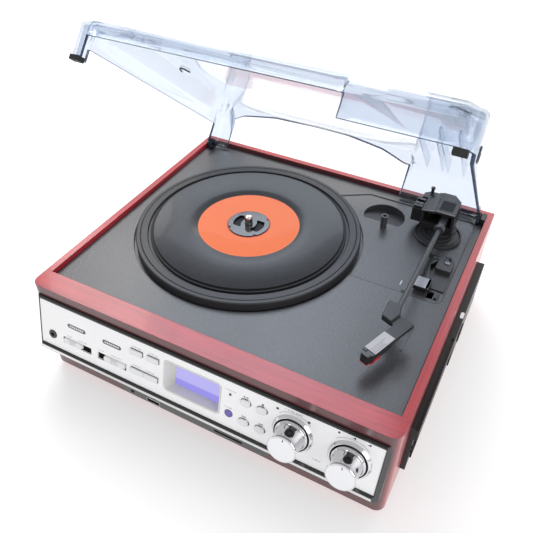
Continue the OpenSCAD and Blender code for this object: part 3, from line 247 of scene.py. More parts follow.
def finished(form, name):
    """Turns a form into an object with smooth round faces and sharp edges."""
    bmesh.ops.recalc_face_normals(form.mesh, faces=form.mesh.faces)
    mesh = bpy.data.meshes.new(name)
    form.mesh.to_mesh(mesh)
    form.mesh.free()
    mesh.polygons.foreach_set("use_smooth", [True] * len(mesh.polygons))
    mesh.set_sharp_from_angle(angle=SHARP_ANGLE)
    piece = bpy.data.objects.new(name, mesh)
    bpy.context.scene.collection.objects.link(piece)
    return piece


def place(form, name, body, slot, material, replaces=(), bevel=0.0):
    """Puts a piece on its body, gives it its finish and hides the nodes it stands for."""
    piece = finished(form, name)
    piece.data.materials.append(material)
    if bevel:
        edge = piece.modifiers.new("Edges", "BEVEL")
        edge.width = bevel * MM
        edge.segments = 2
        edge.limit_method = "ANGLE"
        edge.angle_limit = BEVEL_ANGLE
        edge.harden_normals = True
    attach(piece, body)
    if replaces:
        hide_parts(*replaces)
    return piece


# Materials


class Shader:
    """A small helper that strings nodes together."""

    def __init__(self, name):
        self.material = bpy.data.materials.new(name)
        self.material.use_nodes = True
        self.tree = self.material.node_tree
        self.tree.nodes.clear()
        self.output = self.tree.nodes.new("ShaderNodeOutputMaterial")
        self.coordinates = self.tree.nodes.new("ShaderNodeTexCoord").outputs["Object"]

    def add(self, kind, inputs=None, **settings):
        """A new node with its inputs fed and its properties set."""
        node = self.tree.nodes.new("ShaderNode" + kind)
        for key, value in settings.items():
            setattr(node, key, value)
        for key, value in (inputs or {}).items():
            self.feed(node.inputs[key], value)
        return node

    def feed(self, socket, value):
        """Links an output to a socket, or sets a constant on it."""
        if isinstance(value, bpy.types.NodeSocket):
            self.tree.links.new(value, socket)
        else:
            socket.default_value = value

    def math(self, operation, first, second=0.0):
        """The result of one sum on two values."""
        node = self.add("Math", operation=operation)
        self.feed(node.inputs[0], first)
        self.feed(node.inputs[1], second)
        return node.outputs[0]

    def scaled(self, factors, vector=None):
        """The object's coordinates, stretched along each axis."""
        node = self.add("Mapping", {"Vector": vector or self.coordinates})
        node.inputs["Scale"].default_value = factors
        return node.outputs["Vector"]

    def noise(self, scale, detail=3.0, vector=None, roughness=0.55):
        """A noise value between 0 and 1."""
        inputs = {"Scale": scale, "Detail": detail, "Roughness": roughness}
        node = self.add("TexNoise", {"Vector": vector or self.coordinates, **inputs})
        return node.outputs["Fac"]

    def spread(self, value, low, high, source=(0.0, 1.0)):
        """Maps a value onto a range."""
        node = self.add("MapRange")
        for key, number in zip((0, 1, 2, 3, 4), (value, *source, low, high)):
            self.feed(node.inputs[key], number)
        return node.outputs[0]

    def ramp(self, value, stops):
        """A colour picked from a row of stops."""
        node = self.add("ValToRGB", {"Fac": value})
        points = node.color_ramp.elements
        while len(points) < len(stops):
            points.new(0.5)
        for point, (position, color) in zip(points, stops):
            point.position = position
            point.color = (*color, 1)
        return node.outputs["Color"]

    def mix(self, factor, first, second):
        """A colour between two others."""
        node = self.add("Mix", data_type="RGBA")
        self.feed(node.inputs[0], factor)
        self.feed(node.inputs[6], first)
        self.feed(node.inputs[7], second)
        return node.outputs[2]

    def bump(self, height, distance, normal=None, strength=1.0):
        """A normal bent by a height, on top of another normal if one is given."""
        inputs = {"Height": height, "Distance": distance, "Strength": strength}
        node = self.add("Bump", inputs)
        if normal is not None:
            self.feed(node.inputs["Normal"], normal)
        return node.outputs["Normal"]

    def soft_edges(self, radius):
        """A normal that rounds the edges by a radius in metres."""
        return self.add("Bevel", {"Radius": radius}, samples=4).outputs["Normal"]

    def finish(self, shader):
        """Links the shader to the output and hands back the material."""
        self.tree.links.new(shader, self.output.inputs["Surface"])
        return self.material


def shade(color, amount):
    """The same colour, lighter or darker, with alpha."""
    return (*(min(1.0, c * amount) for c in color[:3]), 1.0)


def surface(name, color, rough=0.4, metal=0.0, coat=0.0, grain=900.0, depth=0.00003, change=0.12, edge=0.0004,
            specular=0.5, wear=0.10):
    """A moulded, painted or plated finish with grain, uneven gloss and light wear."""
    s = Shader(name)
    fine = s.noise(grain, 4)
    broad = s.noise(22.0, 3)
    scratch = s.noise(60.0, 5, s.scaled((1.0, 14.0, 5.0)), 0.7)
    worn = s.spread(scratch, 0.0, 1.0, (0.60, 0.78))
    base = s.mix(broad, shade(color, 1 - change), shade(color, 1 + change))
    base = s.mix(s.math("MULTIPLY", worn, wear), base, shade(color, 1.6))
    gloss = s.spread(fine, rough * 0.85, min(1.0, rough * 1.2))
    gloss = s.math("ADD", gloss, s.math("MULTIPLY", worn, wear * 0.6))
    normal = s.bump(fine, depth, s.soft_edges(edge) if edge else None)
    inputs = {
        "Base Color": base, "Roughness": gloss, "Metallic": metal, "Coat Weight": coat,
        "Coat Roughness": 0.08, "Specular IOR Level": specular, "Normal": normal,
    }
    return s.finish(s.add("BsdfPrincipled", inputs).outputs[0])


def wood(name, color, along):
    """Red stained veneer under lacquer, with its grain along one axis. Faces turned to the front are darkened
    as painted shade.
    """
    s = Shader(name)
    stretch = [1.0, 1.0, 1.0]
    stretch[along] = 0.045
    drift = s.noise(9.0, 2, s.scaled(tuple(0.5 + v for v in stretch)))
    bent = s.add("VectorMath", operation="ADD")
    s.feed(bent.inputs[0], s.scaled(tuple(stretch)))
    s.feed(bent.inputs[1], s.math("MULTIPLY", drift, 0.012))
    vector = bent.outputs[0]
    figure = s.noise(160.0, 6, vector, 0.62)
    pores = s.noise(1400.0, 3, vector, 0.6)
    streaks = s.noise(420.0, 4, vector, 0.6)
    value = s.math("ADD", s.math("MULTIPLY", figure, 0.62), s.math("MULTIPLY", streaks, 0.38))
    dark, light = shade(color, 0.72), shade(color, 1.22)
    base = s.ramp(value, [(0.36, dark[:3]), (0.50, color[:3]), (0.64, light[:3])])
    pore = s.spread(pores, 0.0, 1.0, (0.60, 0.74))
    base = s.mix(s.math("MULTIPLY", pore, 0.40), base, shade(color, 0.45))
    # Painted shade: faces turned to the front are darkened towards a dark red-brown, as if lit less than the
    # top.
    facing = s.add("SeparateXYZ", {"Vector": s.add("NewGeometry").outputs["Normal"]}).outputs["Y"]
    base = s.mix(s.spread(facing, 0.0, 1.0, (-0.3, -0.8)), base, (*FRONT_PAINTED_SHADE, 1))
    handled = s.noise(14.0, 3)
    gloss = s.spread(handled, 0.26, 0.44)
    height = s.math("SUBTRACT", s.math("MULTIPLY", figure, 0.4), pore)
    normal = s.bump(height, 0.00004, s.soft_edges(0.0009))
    inputs = {
        "Base Color": base, "Roughness": gloss, "Coat Weight": 0.5, "Coat Roughness": 0.12,
        "Normal": normal,
    }
    return s.finish(s.add("BsdfPrincipled", inputs).outputs[0])


def leather_grain(name, color):
    """Black moulded plastic with a fine leather grain."""
    s = Shader(name)
    pebbles = s.add("TexVoronoi", {"Vector": s.coordinates, "Scale": 820.0}, feature="SMOOTH_F1")
    cells = pebbles.outputs["Distance"]
    fine = s.noise(1500.0, 3)
    broad = s.noise(16.0, 3)
    height = s.math("ADD", cells, s.math("MULTIPLY", fine, 0.45))
    base = s.mix(broad, shade(color, 0.85), shade(color, 1.15))
    base = s.mix(s.spread(cells, 0.0, 0.5, (0.2, 0.7)), base, shade(color, 1.8))
    gloss = s.spread(broad, 0.30, 0.40)
    normal = s.bump(height, 0.00013, s.soft_edges(0.0005), 0.9)
    inputs = {"Base Color": base, "Roughness": gloss, "Specular IOR Level": 0.8, "Normal": normal}
    return s.finish(s.add("BsdfPrincipled", inputs).outputs[0])


def turned_rings(name, color, rough, centre, pitch, depth, label=None, label_radius=0.0, coat=0.0, bands=()):
    """Rings about a centre: record grooves or the turned ribs of a platter."""
    s = Shader(name)
    split = s.add("SeparateXYZ", {"Vector": s.coordinates})
    across = s.math("SUBTRACT", split.outputs["X"], centre[0] * MM)
    ahead = s.math("SUBTRACT", split.outputs["Y"], centre[1] * MM)
    square = s.math("ADD", s.math("MULTIPLY", across, across), s.math("MULTIPLY", ahead, ahead))
    radius = s.math("SQRT", square)
    wave = s.math("SINE", s.math("MULTIPLY", radius, 2 * math.pi / (pitch * MM)))
    line = s.add("CombineXYZ", {"X": radius})
    uneven = s.noise(900.0, 4, line.outputs[0], 0.7)
    height = s.math("ADD", s.math("MULTIPLY", wave, 0.4), uneven)
    dust = s.noise(2600.0, 2)
    base = s.mix(uneven, shade(color, 0.7), shade(color, 1.4))
    gloss = s.spread(uneven, rough * 0.8, rough * 1.3)
    for inner, outer, factor in bands:
        inside = s.math("MULTIPLY", s.math("GREATER_THAN", radius, inner * MM),
                        s.math("LESS_THAN", radius, outer * MM))
        base = s.mix(inside, base, shade(color, factor))
        height = s.math("MULTIPLY", height, s.spread(inside, 1.0, 0.15))
    base = s.mix(s.spread(dust, 0.0, 0.10, (0.62, 0.75)), base, (0.6, 0.6, 0.6, 1))
    if label:
        paper = s.math("LESS_THAN", radius, label_radius * MM)
        fibre = s.noise(1100.0, 4)
        tint = s.mix(fibre, shade(label, 0.93), shade(label, 1.05))
        base = s.mix(paper, base, tint)
        gloss = s.mix(paper, gloss, (0.5, 0.5, 0.5, 1))
        height = s.math("MULTIPLY", height, s.spread(paper, 1.0, 0.05))
    normal = s.bump(height, depth, s.soft_edges(0.0004))
    inputs = {
        "Base Color": base, "Roughness": gloss, "Coat Weight": coat, "Specular IOR Level": 0.32,
        "Normal": normal,
    }
    return s.finish(s.add("BsdfPrincipled", inputs).outputs[0])


def clear_plastic(name, tint, haze=0.06):
    """Clear acrylic seen as a thin shell: a tint for each surface and a reflection by angle."""
    s = Shader(name)
    uneven = s.noise(30.0, 3)
    scuffs = s.noise(240.0, 5, s.scaled((1.0, 6.0, 2.0)), 0.7)
    through = s.mix(uneven, shade(tint, 0.985), shade(tint, 1.015))
    gloss = s.spread(scuffs, 0.02, haze, (0.4, 0.8))
    normal = s.bump(uneven, 0.00005)
    clear = s.add("BsdfTransparent", {"Color": through}).outputs[0]
    shine = s.add("BsdfGlossy", {"Color": (1, 1, 1, 1), "Roughness": gloss, "Normal": normal}).outputs[0]
    inner = s.add("NewGeometry").outputs["Backfacing"]
    facing = s.add("Fresnel", {"IOR": s.spread(inner, ACRYLIC_IOR, 1 / ACRYLIC_IOR)}).outputs[0]
    both = s.add("MixShader", {0: facing, 1: clear, 2: shine}).outputs[0]
    return s.finish(both)


def cut_edge(name, color):
    """The edge of tinted acrylic, where the light is caught and looks darker."""
    s = Shader(name)
    uneven = s.noise(80.0, 3)
    tint = s.mix(uneven, shade(color, 0.9), shade(color, 1.2))
    clear = s.add("BsdfTransparent", {"Color": tint}).outputs[0]
    gloss = s.spread(uneven, 0.15, 0.3)
    solid = s.add("BsdfPrincipled", {"Base Color": shade(color, 0.6), "Roughness": gloss}).outputs[0]
    return s.finish(s.add("MixShader", {0: 0.6, 1: clear, 2: solid}).outputs[0])


def lit_display(name, upper, lower, split_z):
    """A back-lit liquid crystal display, brighter in its upper part."""
    s = Shader(name)
    height = s.add("SeparateXYZ", {"Vector": s.coordinates}).outputs["Z"]
    step = s.spread(height, 0.0, 1.0, (split_z - 0.0006, split_z + 0.0004))
    cells = s.noise(5000.0, 1)
    glow = s.mix(step, shade(lower, 1.0), shade(upper, 1.0))
    glow = s.mix(s.spread(cells, 0.0, 0.08), glow, (1, 1, 1, 1))
    normal = s.bump(cells, 0.00001)
    inputs = {
        "Base Color": (0.02, 0.02, 0.06, 1), "Roughness": s.spread(cells, 0.08, 0.14),
        "Emission Color": glow, "Emission Strength": 0.8, "Normal": normal,
    }
    return s.finish(s.add("BsdfPrincipled", inputs).outputs[0])


# Settings


class MusicCentreFinish(bpy.types.PropertyGroup):
    """Colours and finish of the pieces."""

    wood_color: bpy.props.FloatVectorProperty(
        name="Wood", description="Colour of the stained veneer", subtype="COLOR", size=3, min=0, max=1,
        default=(0.42, 0.022, 0.032))
    deck_color: bpy.props.FloatVectorProperty(
        name="Deck", description="Colour of the deck plate", subtype="COLOR", size=3, min=0, max=1,
        default=(0.040, 0.040, 0.045))
    plate_color: bpy.props.FloatVectorProperty(
        name="Panel", description="Colour of the silver control panel", subtype="COLOR", size=3, min=0, max=1,
        default=(0.92, 0.92, 0.93))
    cover_tint: bpy.props.FloatVectorProperty(
        name="Cover", description="Light that passes each surface of the cover", subtype="COLOR",
        size=3, min=0, max=1, default=(0.815, 0.85, 0.90))
    label_color: bpy.props.FloatVectorProperty(
        name="Label", description="Colour of the record's label", subtype="COLOR", size=3, min=0, max=1,
        default=(0.95, 0.19, 0.05))
    display_color: bpy.props.FloatVectorProperty(
        name="Display", description="Colour of the lit display", subtype="COLOR", size=3, min=0, max=1,
        default=(0.34, 0.30, 0.95))


class MusicCentreSizes(bpy.types.PropertyGroup):
    """Sizes of the details that only the visual model has."""

    edge_radius: bpy.props.FloatProperty(
        name="Edge radius", description="Rounding of the small pieces' edges", subtype="DISTANCE",
        unit="LENGTH", default=0.0003, min=0.0, max=0.001)
    print_height: bpy.props.FloatProperty(
        name="Print height", description="Thickness of the printed marks", subtype="DISTANCE",
        unit="LENGTH", default=0.00004, min=0.00001, max=0.0002)
    cover_thickness: bpy.props.FloatProperty(
        name="Cover thickness", description="Wall thickness of the clear cover", subtype="DISTANCE",
        unit="LENGTH", default=0.0025, min=0.001, max=0.003)
    groove_pitch: bpy.props.FloatProperty(
        name="Groove pitch", description="Distance between visible groove lines", subtype="DISTANCE",
        unit="LENGTH", default=0.0006, min=0.0002, max=0.002)


class MusicCentreStage(bpy.types.PropertyGroup):
    """Light and floor."""

    key_power: bpy.props.FloatProperty(
        name="Key light", description="Power of the large light above", unit="POWER",
        default=14.0, min=0.0)
    side_power: bpy.props.FloatProperty(
        name="Side light", description="Power of the light at the right", unit="POWER",
        default=7.0, min=0.0)
    rear_power: bpy.props.FloatProperty(
        name="Rear light", description="Power of the light behind the cover", unit="POWER",
        default=3.0, min=0.0)
    sky: bpy.props.FloatProperty(
        name="Sky", description="Brightness of the surroundings", default=0.62, min=0.0, max=3.0)


def settings():
    """The three groups of settings of the scene."""
    scene = bpy.context.scene
    return scene.music_centre_finish, scene.music_centre_sizes, scene.music_centre_stage


def dress(nodes, material):
    """Gives CAD nodes a finish."""
    for name in nodes:
        NODES[name].data.materials.clear()
        NODES[name].data.materials.append(material)


# Pieces


def build_cabinet():
    """The four boards with their grain, the base board, the feet and the screws."""
    finish = settings()[0]
    across = wood("wood_across", finish.wood_color, 0)
    along = wood("wood_along", finish.wood_color, 1)
    dress(("front_board", "rear_board"), across)
    dress(("left_side_board", "right_side_board"), along)
    dress(("base_board",), surface("base_board_black", (0.03, 0.028, 0.026), 0.75, grain=500, depth=0.00008))
    dress(("feet",), surface("foot_rubber", (0.02, 0.02, 0.02), 0.7, grain=700, depth=0.00006))
    dress(("screws",), surface("screw_zinc", (0.26, 0.26, 0.28), 0.45, metal=1.0, grain=600))


def build_deck():
    """The deck plate, the seams round it drawn as painted shadow lines, and the small marks in its recess."""
    finish = settings()[0]
    grain = leather_grain("deck_grain", finish.deck_color)
    dress(("top_deck",), grain)
    black = surface("deck_slot_black_and_seam_shadow", (0.008, 0.008, 0.009), 0.5)
    ink = surface("deck_print", (0.7, 0.7, 0.7), 0.6, edge=0)
    slots = Form()
    slots.box((113.4, -0.6, RECESS_TOP - 0.3), (117.2, 3.0, RECESS_TOP + 0.06))
    place(slots, "deck_slots", "cabinet", "deck_black", black)
    # Thin black strips along the deck's edges and round its recess: painted shadow in the seams.
    low, high = (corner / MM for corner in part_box("top_deck"))
    seam_shadows = Form()
    for x0, x1 in ((low.x, low.x + 0.5), (high.x - 0.8, high.x)):
        seam_shadows.box((x0, low.y, DECK_TOP - 0.3), (x1, high.y, DECK_TOP + 0.06))
    (x0, y0), (x1, y1), r = RECESS_LOW, RECESS_HIGH, RECESS_CORNER
    wide = r + SEAM_SHADOW_WIDTH
    outer = arc((x1 - r, y0 + r), wide, -90, 0, 9) + arc((x1 - r, y1 - r), wide, 0, 90, 9)
    inner = arc((x1 - r, y1 - r), r, 90, 0, 9) + arc((x1 - r, y0 + r), r, 0, -90, 9)
    seam_shadow_outline = [(x0, y0 - SEAM_SHADOW_WIDTH)] + outer + inner + [(x0, y0)]
    seam_shadows.prism(seam_shadow_outline, DECK_TOP - 0.3, DECK_TOP + 0.06)
    place(seam_shadows, "deck_seam_shadows", "cabinet", "deck_black", black)
    marks = Form()
    marks.box((110.0, 8.0, RECESS_TOP - 0.2), (110.9, 13.5, RECESS_TOP + 0.05))
    marks.prism([(x + 117, y + 7) for x, y in circle(0.7, 16)], RECESS_TOP - 0.2, RECESS_TOP + 0.05)
    place(marks, "deck_marks", "cabinet", "deck_black", ink)
    low, high = RECESS_TOP + 12.6, RECESS_TOP + 13.35
    rim = Form().lathe([(3.25, low), (3.25, high), (2.3, high), (2.3, low)], ADAPTER_POST, 32, ring=True)
    place(rim, "adapter_post_rim", "cabinet", "deck_black", surface("post_rim", (0.10, 0.10, 0.11), 0.3))


def build_platter():
    """The platter and mat, the record with its label, its adapter and the spindle's cap."""
    finish, sizes, _ = settings()
    centre = (*SPINDLE, 0)
    ribbed = turned_rings("platter_rings", (0.032, 0.032, 0.036), 0.34, SPINDLE, 0.9, 0.00001)
    dress(("platter",), ribbed)
    dress(("slip_mat",), turned_rings("mat_rings", (0.014, 0.014, 0.016), 0.6, SPINDLE, 2.2, 0.00004))
    # The run-out band beside the label is drawn 1.2 times lighter as well as smoother: a painted sheen.
    smooth = ((LABEL_RADIUS, RUN_OUT_RADIUS, 1.2), (86.2, 88.0, 1.0))
    vinyl = turned_rings(
        "record_grooves", (0.011, 0.011, 0.013), 0.22, SPINDLE, sizes.groove_pitch / MM, 0.000012,
        finish.label_color, LABEL_RADIUS, 0.08, smooth)
    upper = [(HOLE_RADIUS, -0.25), (46.4, -0.25), (LABEL_RADIUS, -0.15), (47.4, -0.35),
             (RUN_OUT_RADIUS, -0.42), (58.2, -0.36), (85.6, -0.36), (86.4, -0.05), (87.0, 0),
             (RECORD_RADIUS, -0.4)]
    under = [(RECORD_RADIUS, 0.5), (87.0, 0.05), (86.0, 0.02), (85.0, 0.3)]
    profile = [(HOLE_RADIUS, MAT_TOP + 0.3)]
    profile += [(radius, RECORD_TOP + rise) for radius, rise in upper]
    profile += [(radius, MAT_TOP + rise) for radius, rise in under]
    disc = Form().lathe(profile, centre, 160, ring=True)
    place(disc, "record_disc", "platter_body", "vinyl", vinyl, ("record",))
    gloss = surface("adapter_black", (0.012, 0.012, 0.014), 0.16, coat=0.5, grain=500)
    dress(("record_adapter",), gloss)
    low, high = RECORD_TOP - 0.24, RECORD_TOP - 0.19
    seat = Form().lathe([(18.3, low), (20.0, low), (20.0, high), (18.3, high)], centre, 64, ring=True)
    place(seat, "adapter_seat", "platter_body", "vinyl", surface("seat_red", (0.35, 0.02, 0.015), 0.4))
    steel = surface("spindle_steel", (0.75, 0.72, 0.70), 0.16, metal=1.0, grain=300)
    dress(("spindle",), steel)
    cap = Form().lathe([(3.6, 110.0), (3.6, 114.2), (3.0, 115.4), (1.6, 116.0), (0, 116.1)], centre, 40)
    place(cap, "spindle_cap", "platter_body", "screw_steel", steel)


def build_arm_base():
    """The arm's base with its rings, and the arm rest."""
    dark = surface("arm_base_black", (0.035, 0.035, 0.038), 0.38, grain=1100, depth=0.00004)
    glossy = surface("arm_satin_black", (0.022, 0.022, 0.024), 0.26, coat=0.2)
    dress(("arm_base",), dark)
    dress(("arm_rest",), dark)
    rings = Form()
    for radius, height in ((20.6, 2.9), (17.0, 2.2), (13.2, 4.2)):
        low = RECESS_TOP + height - 0.8
        high = low + 0.8
        section = [(radius - 0.7, low), (radius + 0.5, low), (radius + 0.3, high), (radius - 0.5, high)]
        rings.lathe(section, ARM_BASE, 64, ring=True)
    place(rings, "arm_base_rings", "cabinet", "arm_black", dark)
    details = Form()
    details.box((128.6, 44.2, RECESS_TOP), (130.8, 52.0, RECESS_TOP + 2.4))
    details.prism([(124.9, 50.6), (132.3, 48.5), (128.1, 39.5)], RECESS_TOP - 0.2, RECESS_TOP + 0.08)
    place(details, "arm_rest_details", "cabinet", "arm_black", glossy)


def build_arm():
    """The turning turret, the tube, the headshell, the cartridge and the stylus guard."""
    sizes = settings()[1]
    black = surface("turret_black", (0.020, 0.020, 0.022), 0.28, coat=0.15, grain=1200, depth=0.00003)
    grey = surface("tube_grey", (0.055, 0.057, 0.063), 0.30, metal=0.3, coat=0.2)
    edge = sizes.edge_radius / MM
    turret = Form()
    low, top, split = TURRET_LOW, TURRET_TOP, TURRET_SPLIT
    left = [(101.2, 85.2), (101.2, 108), (110, 116.8), (split, 116.8), (split, 85.2)]
    right = [(split, 85.2), (split, 116.8), (124, 116.8), (131.3, 108), (131.3, 85.2)]
    cavity = [(104.0, 87.4), (103.6, 107), (111, 114.2), (123, 114.2), (128.6, 106.8), (128.6, 87.4),
              (split, 87.4)]
    slanted = [(x, y, top - 0.6 - (split - x) * TURRET_SLOPE) for x, y in left]
    turret.loft([[(x, y, z) for x, y in right] for z in (122.8, top)])
    turret.loft([[(x, y, 121.8) for x, y in left], slanted])
    turret.box((101.2, 86, low), (103.8, 112, 123.2))
    turret.box((128.9, 86, low), (131.4, 110, 123.2))
    turret.box((104.5, 110, low), (128.5, 114.6, 123.2))
    turret.box((103, 86, low), (129, 113, 110.2))
    ledge = [(96.2, 105.2), (96.2, 112.4), (101.2, 117.0), (108.8, 117.0), (108.8, 113.2), (103.2, 105.2)]
    turret.prism(ledge, 120.1, 124.0)
    turret.rod((102.5, 115, 123.5), (102.5, 115, 129.2), 1.5)
    turret.rod((102.5, 115, 128.2), (102.5, 115, 129.9), 2.0)
    place(turret, "arm_turret_shell", "turret_body", "arm_black", black, ("arm_turret",), edge)
    block = Form().box((92.1, 88.1, 107.3), (101.3, 105.9, 120.8))
    for y, top_z in ((89.2, 123.3), (94.6, 122.4), (100.2, 123.4)):
        block.box((92.6, y, 120.4), (100.6, y + 3.4, top_z))
    shiny = surface("block_black", (0.010, 0.010, 0.011), 0.16, coat=0.5)
    place(block, "arm_spring_block", "turret_body", "arm_black", shiny, (), edge)
    inset = Form().box((116, 88.6, top - 0.2), (128, 104, top + 0.08))
    matt = surface("inset_black", (0.006, 0.006, 0.007), 0.5, grain=700, depth=0.00005, specular=0.25)
    place(inset, "arm_turret_inset", "turret_body", "arm_black", matt)
    # A pale grey strip along the turret's front top edge: a painted highlight.
    turret_highlight_strip = Form().box((113.4, 84.9, top - 0.9), (131.0, 85.6, top - 0.1))
    section = [(84.9, -0.8), (85.6, -0.8), (85.6, 0), (84.9, 0)]
    highlight_strip_ends = [(x, top - 0.8 - (split - x) * TURRET_SLOPE) for x in (101.6, 112.8)]
    turret_highlight_strip.loft([[(x, y, height + z) for y, z in section] for x, height in highlight_strip_ends])
    pale = surface("turret_painted_highlight", (0.30, 0.30, 0.32), 0.3, edge=0)
    place(turret_highlight_strip, "arm_turret_highlight_strip", "turret_body", "arm_black", pale)
    lining = Form().prism(cavity, 110.3, 110.6)
    place(lining, "arm_turret_floor", "turret_body", "arm_black", black)

    tube = Form()
    tube.rod((101.8, PIVOT_Y, TUBE_Z), (130.8, PIVOT_Y, TUBE_Z), 1.5)
    tube.rod((TUBE_X, TUBE_FRONT, TUBE_Z), (TUBE_X, 76, TUBE_Z), 2.1, count=40)
    tube.rod((TUBE_X, 68.4, TUBE_Z), (TUBE_X, 69.6, TUBE_Z), 4.4, 4.7, 40)
    tube.rod((TUBE_X, 69.6, TUBE_Z), (TUBE_X, 73.0, TUBE_Z), 4.7, 4.7, 40)
    tube.round_box((119.2, 72, 114.7), (125.8, 103, 120.3), 1.2, 0.5)
    tube.rod((TUBE_X, 101, TUBE_Z - 0.4), (TUBE_X, 110, TUBE_Z - 0.4), 3.6, count=32)
    place(tube, "arm_tube_assembly", "arm_body", "tube_grey", grey, ("arm_tube",), edge)

    joint = [(-8.8, 4), (1.6, 4), (3.8, -7.4), (-0.2, -17.6), (-8.5, -14)]
    joint_top = [(-8.1, 3.4), (1.1, 3.4), (3.1, -7.2), (-0.5, -16.8), (-7.9, -13.5)]
    head = Form(JOINT)
    head.prism(joint, -2.6, 1.9).prism(joint, 1.9, 2.6, joint_top)
    head.prism([(2, -5), (10, -10.5), (7, -20), (-0.8, -17)], -2.4, 0.4)
    place(head, "headshell_joint", "arm_body", "arm_black", black, (), edge)
    shell = Form(HEAD)
    shell.box((-5.3, -30, -2.6), (5.3, 0, 0.6))
    shell.box((-5.0, -44, -2.6), (5.0, -29.5, 0.9))
    place(shell, "headshell_body", "arm_body", "arm_black", black, ("headshell",), edge)
    lift = Form(HEAD_PLACE).prism([(2, -4), (5.6, -3), (4.3, -28.2), (2.5, -28.2), (3, -10)], -2.4, -1.2)
    lift.rod((3.4, -28.0, -2.2), (3.4, -28.0, -0.6), 0.9)
    place(lift, "headshell_lift", "arm_body", "tube_grey", grey, (), edge / 2)

    silver = surface("cartridge_satin", (0.46, 0.45, 0.47), 0.45, metal=0.0, grain=800)
    lines = surface("cartridge_lines", (0.16, 0.15, 0.18), 0.4, edge=0)
    pickup = Form(HEAD).box((-5.0, -44, 0.8), (5.0, -22, 1.5))
    place(pickup, "cartridge_plate", "arm_body", "cartridge_silver", silver, (), edge)
    ruled = Form(HEAD)
    for x, back in ((-0.4, -27), (0.9, -31), (2.4, -31), (3.6, -31)):
        ruled.box((x, -43.4, 1.4), (x + 0.3, back, 1.53))
    place(ruled, "cartridge_ruling", "arm_body", "cartridge_silver", lines)
    cell = Form(HEAD)
    cell.box((-4.6, -46, -7.4), (4.4, -24, -2.6))
    nose = [(-4.8, -44.0), (4.8, -44.0), (4.8, -46.2), (3.4, -47.0), (3.4, -49.2), (2.6, -50),
            (-3.2, -50), (-3.8, -49.2), (-3.8, -47.0), (-4.8, -46.2)]
    cell.prism(nose, -7.4, 0.9)
    cell.box((-4.8, -46.4, 0.5), (-1.4, -44.2, 1.5))
    for x in (-1.7, 1.5):
        cell.rod((x, -49.4, -3.8), (x, -50.2, -3.8), 0.9)
    place(cell, "cartridge_body", "arm_body", "cartridge_silver", black, ("cartridge",), edge)
    stylus = Form(HEAD)
    stylus.prism([(-4.0, -49.6), (2.6, -50.1), (4.4, -46), (4.6, -38), (3.2, -36), (-3.4, -36)], -8.2, -7.3)
    stylus.box((3.4, -46.5, -8.0), (4.8, -37.0, -5.6))
    stylus.rod((0, -46, -8.1), (0, -46, -8.7), 0.6, 0.2)
    red = surface("stylus_red", (0.60, 0.015, 0.02), 0.2, coat=0.6)
    place(stylus, "stylus_guard", "arm_body", "stylus_red", red, ("stylus",), edge / 2)


def build_lever():
    """The cue lever with its silver tip, the lift post with its pad, and the speed switch."""
    black = surface("lever_black", (0.014, 0.014, 0.015), 0.22, coat=0.3)
    silver = surface("lever_silver", (0.34, 0.34, 0.37), 0.4, metal=0.6)
    dress(("cue_lever",), black)
    z = RECESS_TOP + 3.9
    tip = Form().prism(rounded((121.2, 6.2), (133.8, 19.0), 1.0), z + 2.0, z + 2.6)
    tip.prism(rounded((131.6, 6.2), (134.0, 19.0), 0.8), z - 1.0, z + 2.6)
    place(tip, "cue_lever_tip", "cue_lever_body", "arm_black", silver)
    dress(("lift_platform",), surface("lift_grey", (0.26, 0.27, 0.29), 0.35, metal=0.6))
    pad = Form().box((118.8, 55.5, RECESS_TOP + 5.4), (126.4, 61.5, RECESS_TOP + 5.7))
    rubber = surface("pad_rubber", (0.03, 0.03, 0.03), 0.7)
    place(pad, "lift_platform_pad", "lift_body", "chassis_grey", rubber)
    dress(("speed_switch",), black)


def across(share, point):
    """A point of a ridge, moved to its share of the half width."""
    return (share * point[0], *point[1:])


def arch_height(x):
    """The height of the rear wall's lower edge, which is arched in the middle."""
    for (x0, low), (x1, high) in zip(REAR_ARCH, REAR_ARCH[1:]):
        if x0 <= x <= x1:
            return low + (high - low) * (x - x0) / (x1 - x0)
    return EDGE_LOW


def upper_ridge(side, a):
    """The place of the roof's edge beside a place on a side wall."""
    (front_x, front_a, _), (rear_x, rear_a, _) = FRONT_TOP, REAR_TOP
    a = min(front_a, max(rear_a, rear_a + (a / COVER_LENGTH) * 212))
    x = rear_x - (rear_x - front_x) * (a - rear_a) / (front_a - rear_a)
    return (side * x, a, ROOF)


def side_low(side, a):
    """The height of a side wall's lower edge. The left one has a long gap."""
    (start, high), (end, low) = LEFT_GAP
    if side > 0 or a < start:
        return EDGE_LOW
    if a > end:
        return EDGE_FRONT
    return high - (high - low) * (a - start) / (end - start)


def side_wall(side, steps):
    """The stations along one side wall. Its lower ridge fades into the front ridge."""
    fade_start, fade_end = 190, COVER_LENGTH - COVER_CORNER
    (start, high), (end, low) = LEFT_GAP
    row = []
    for a in steps:
        top = upper_ridge(side, a)
        fade = max(0.0, (a - fade_start) / (fade_end - fade_start))
        fade = fade * fade * (3 - 2 * fade)
        middle = Vector((side * HALF_COVER, a, WALL_TOP)).lerp(Vector(top), 0.5)
        ridge = tuple(middle.lerp(Vector(across(side, FRONT_RIDGE)), fade))
        row.append(((side * HALF_COVER, a), ridge, top, side_low(side, a)))
        if side < 0 and abs(a - end) < 3.0:
            row.append(((side * HALF_COVER, end), ridge, top, low))
            row.append(((side * HALF_COVER, end + 0.1), ridge, top, EDGE_FRONT))
    if side < 0:
        _, ridge, top, _ = row[0]
        row.insert(1, ((side * HALF_COVER, start), ridge, top, EDGE_LOW))
        row.insert(2, ((side * HALF_COVER, start + 0.1), ridge, top, high))
    return row


def cover_corner(side, a, start, ridge, top, low):
    """The stations of an upright round corner, over a quarter turn."""
    centre = (side * (HALF_COVER - COVER_CORNER), a)
    points = arc(centre, COVER_CORNER, start, start - 90, 7)[1:-1]
    return [(point, across(side, ridge), across(side, top), low) for point in points]


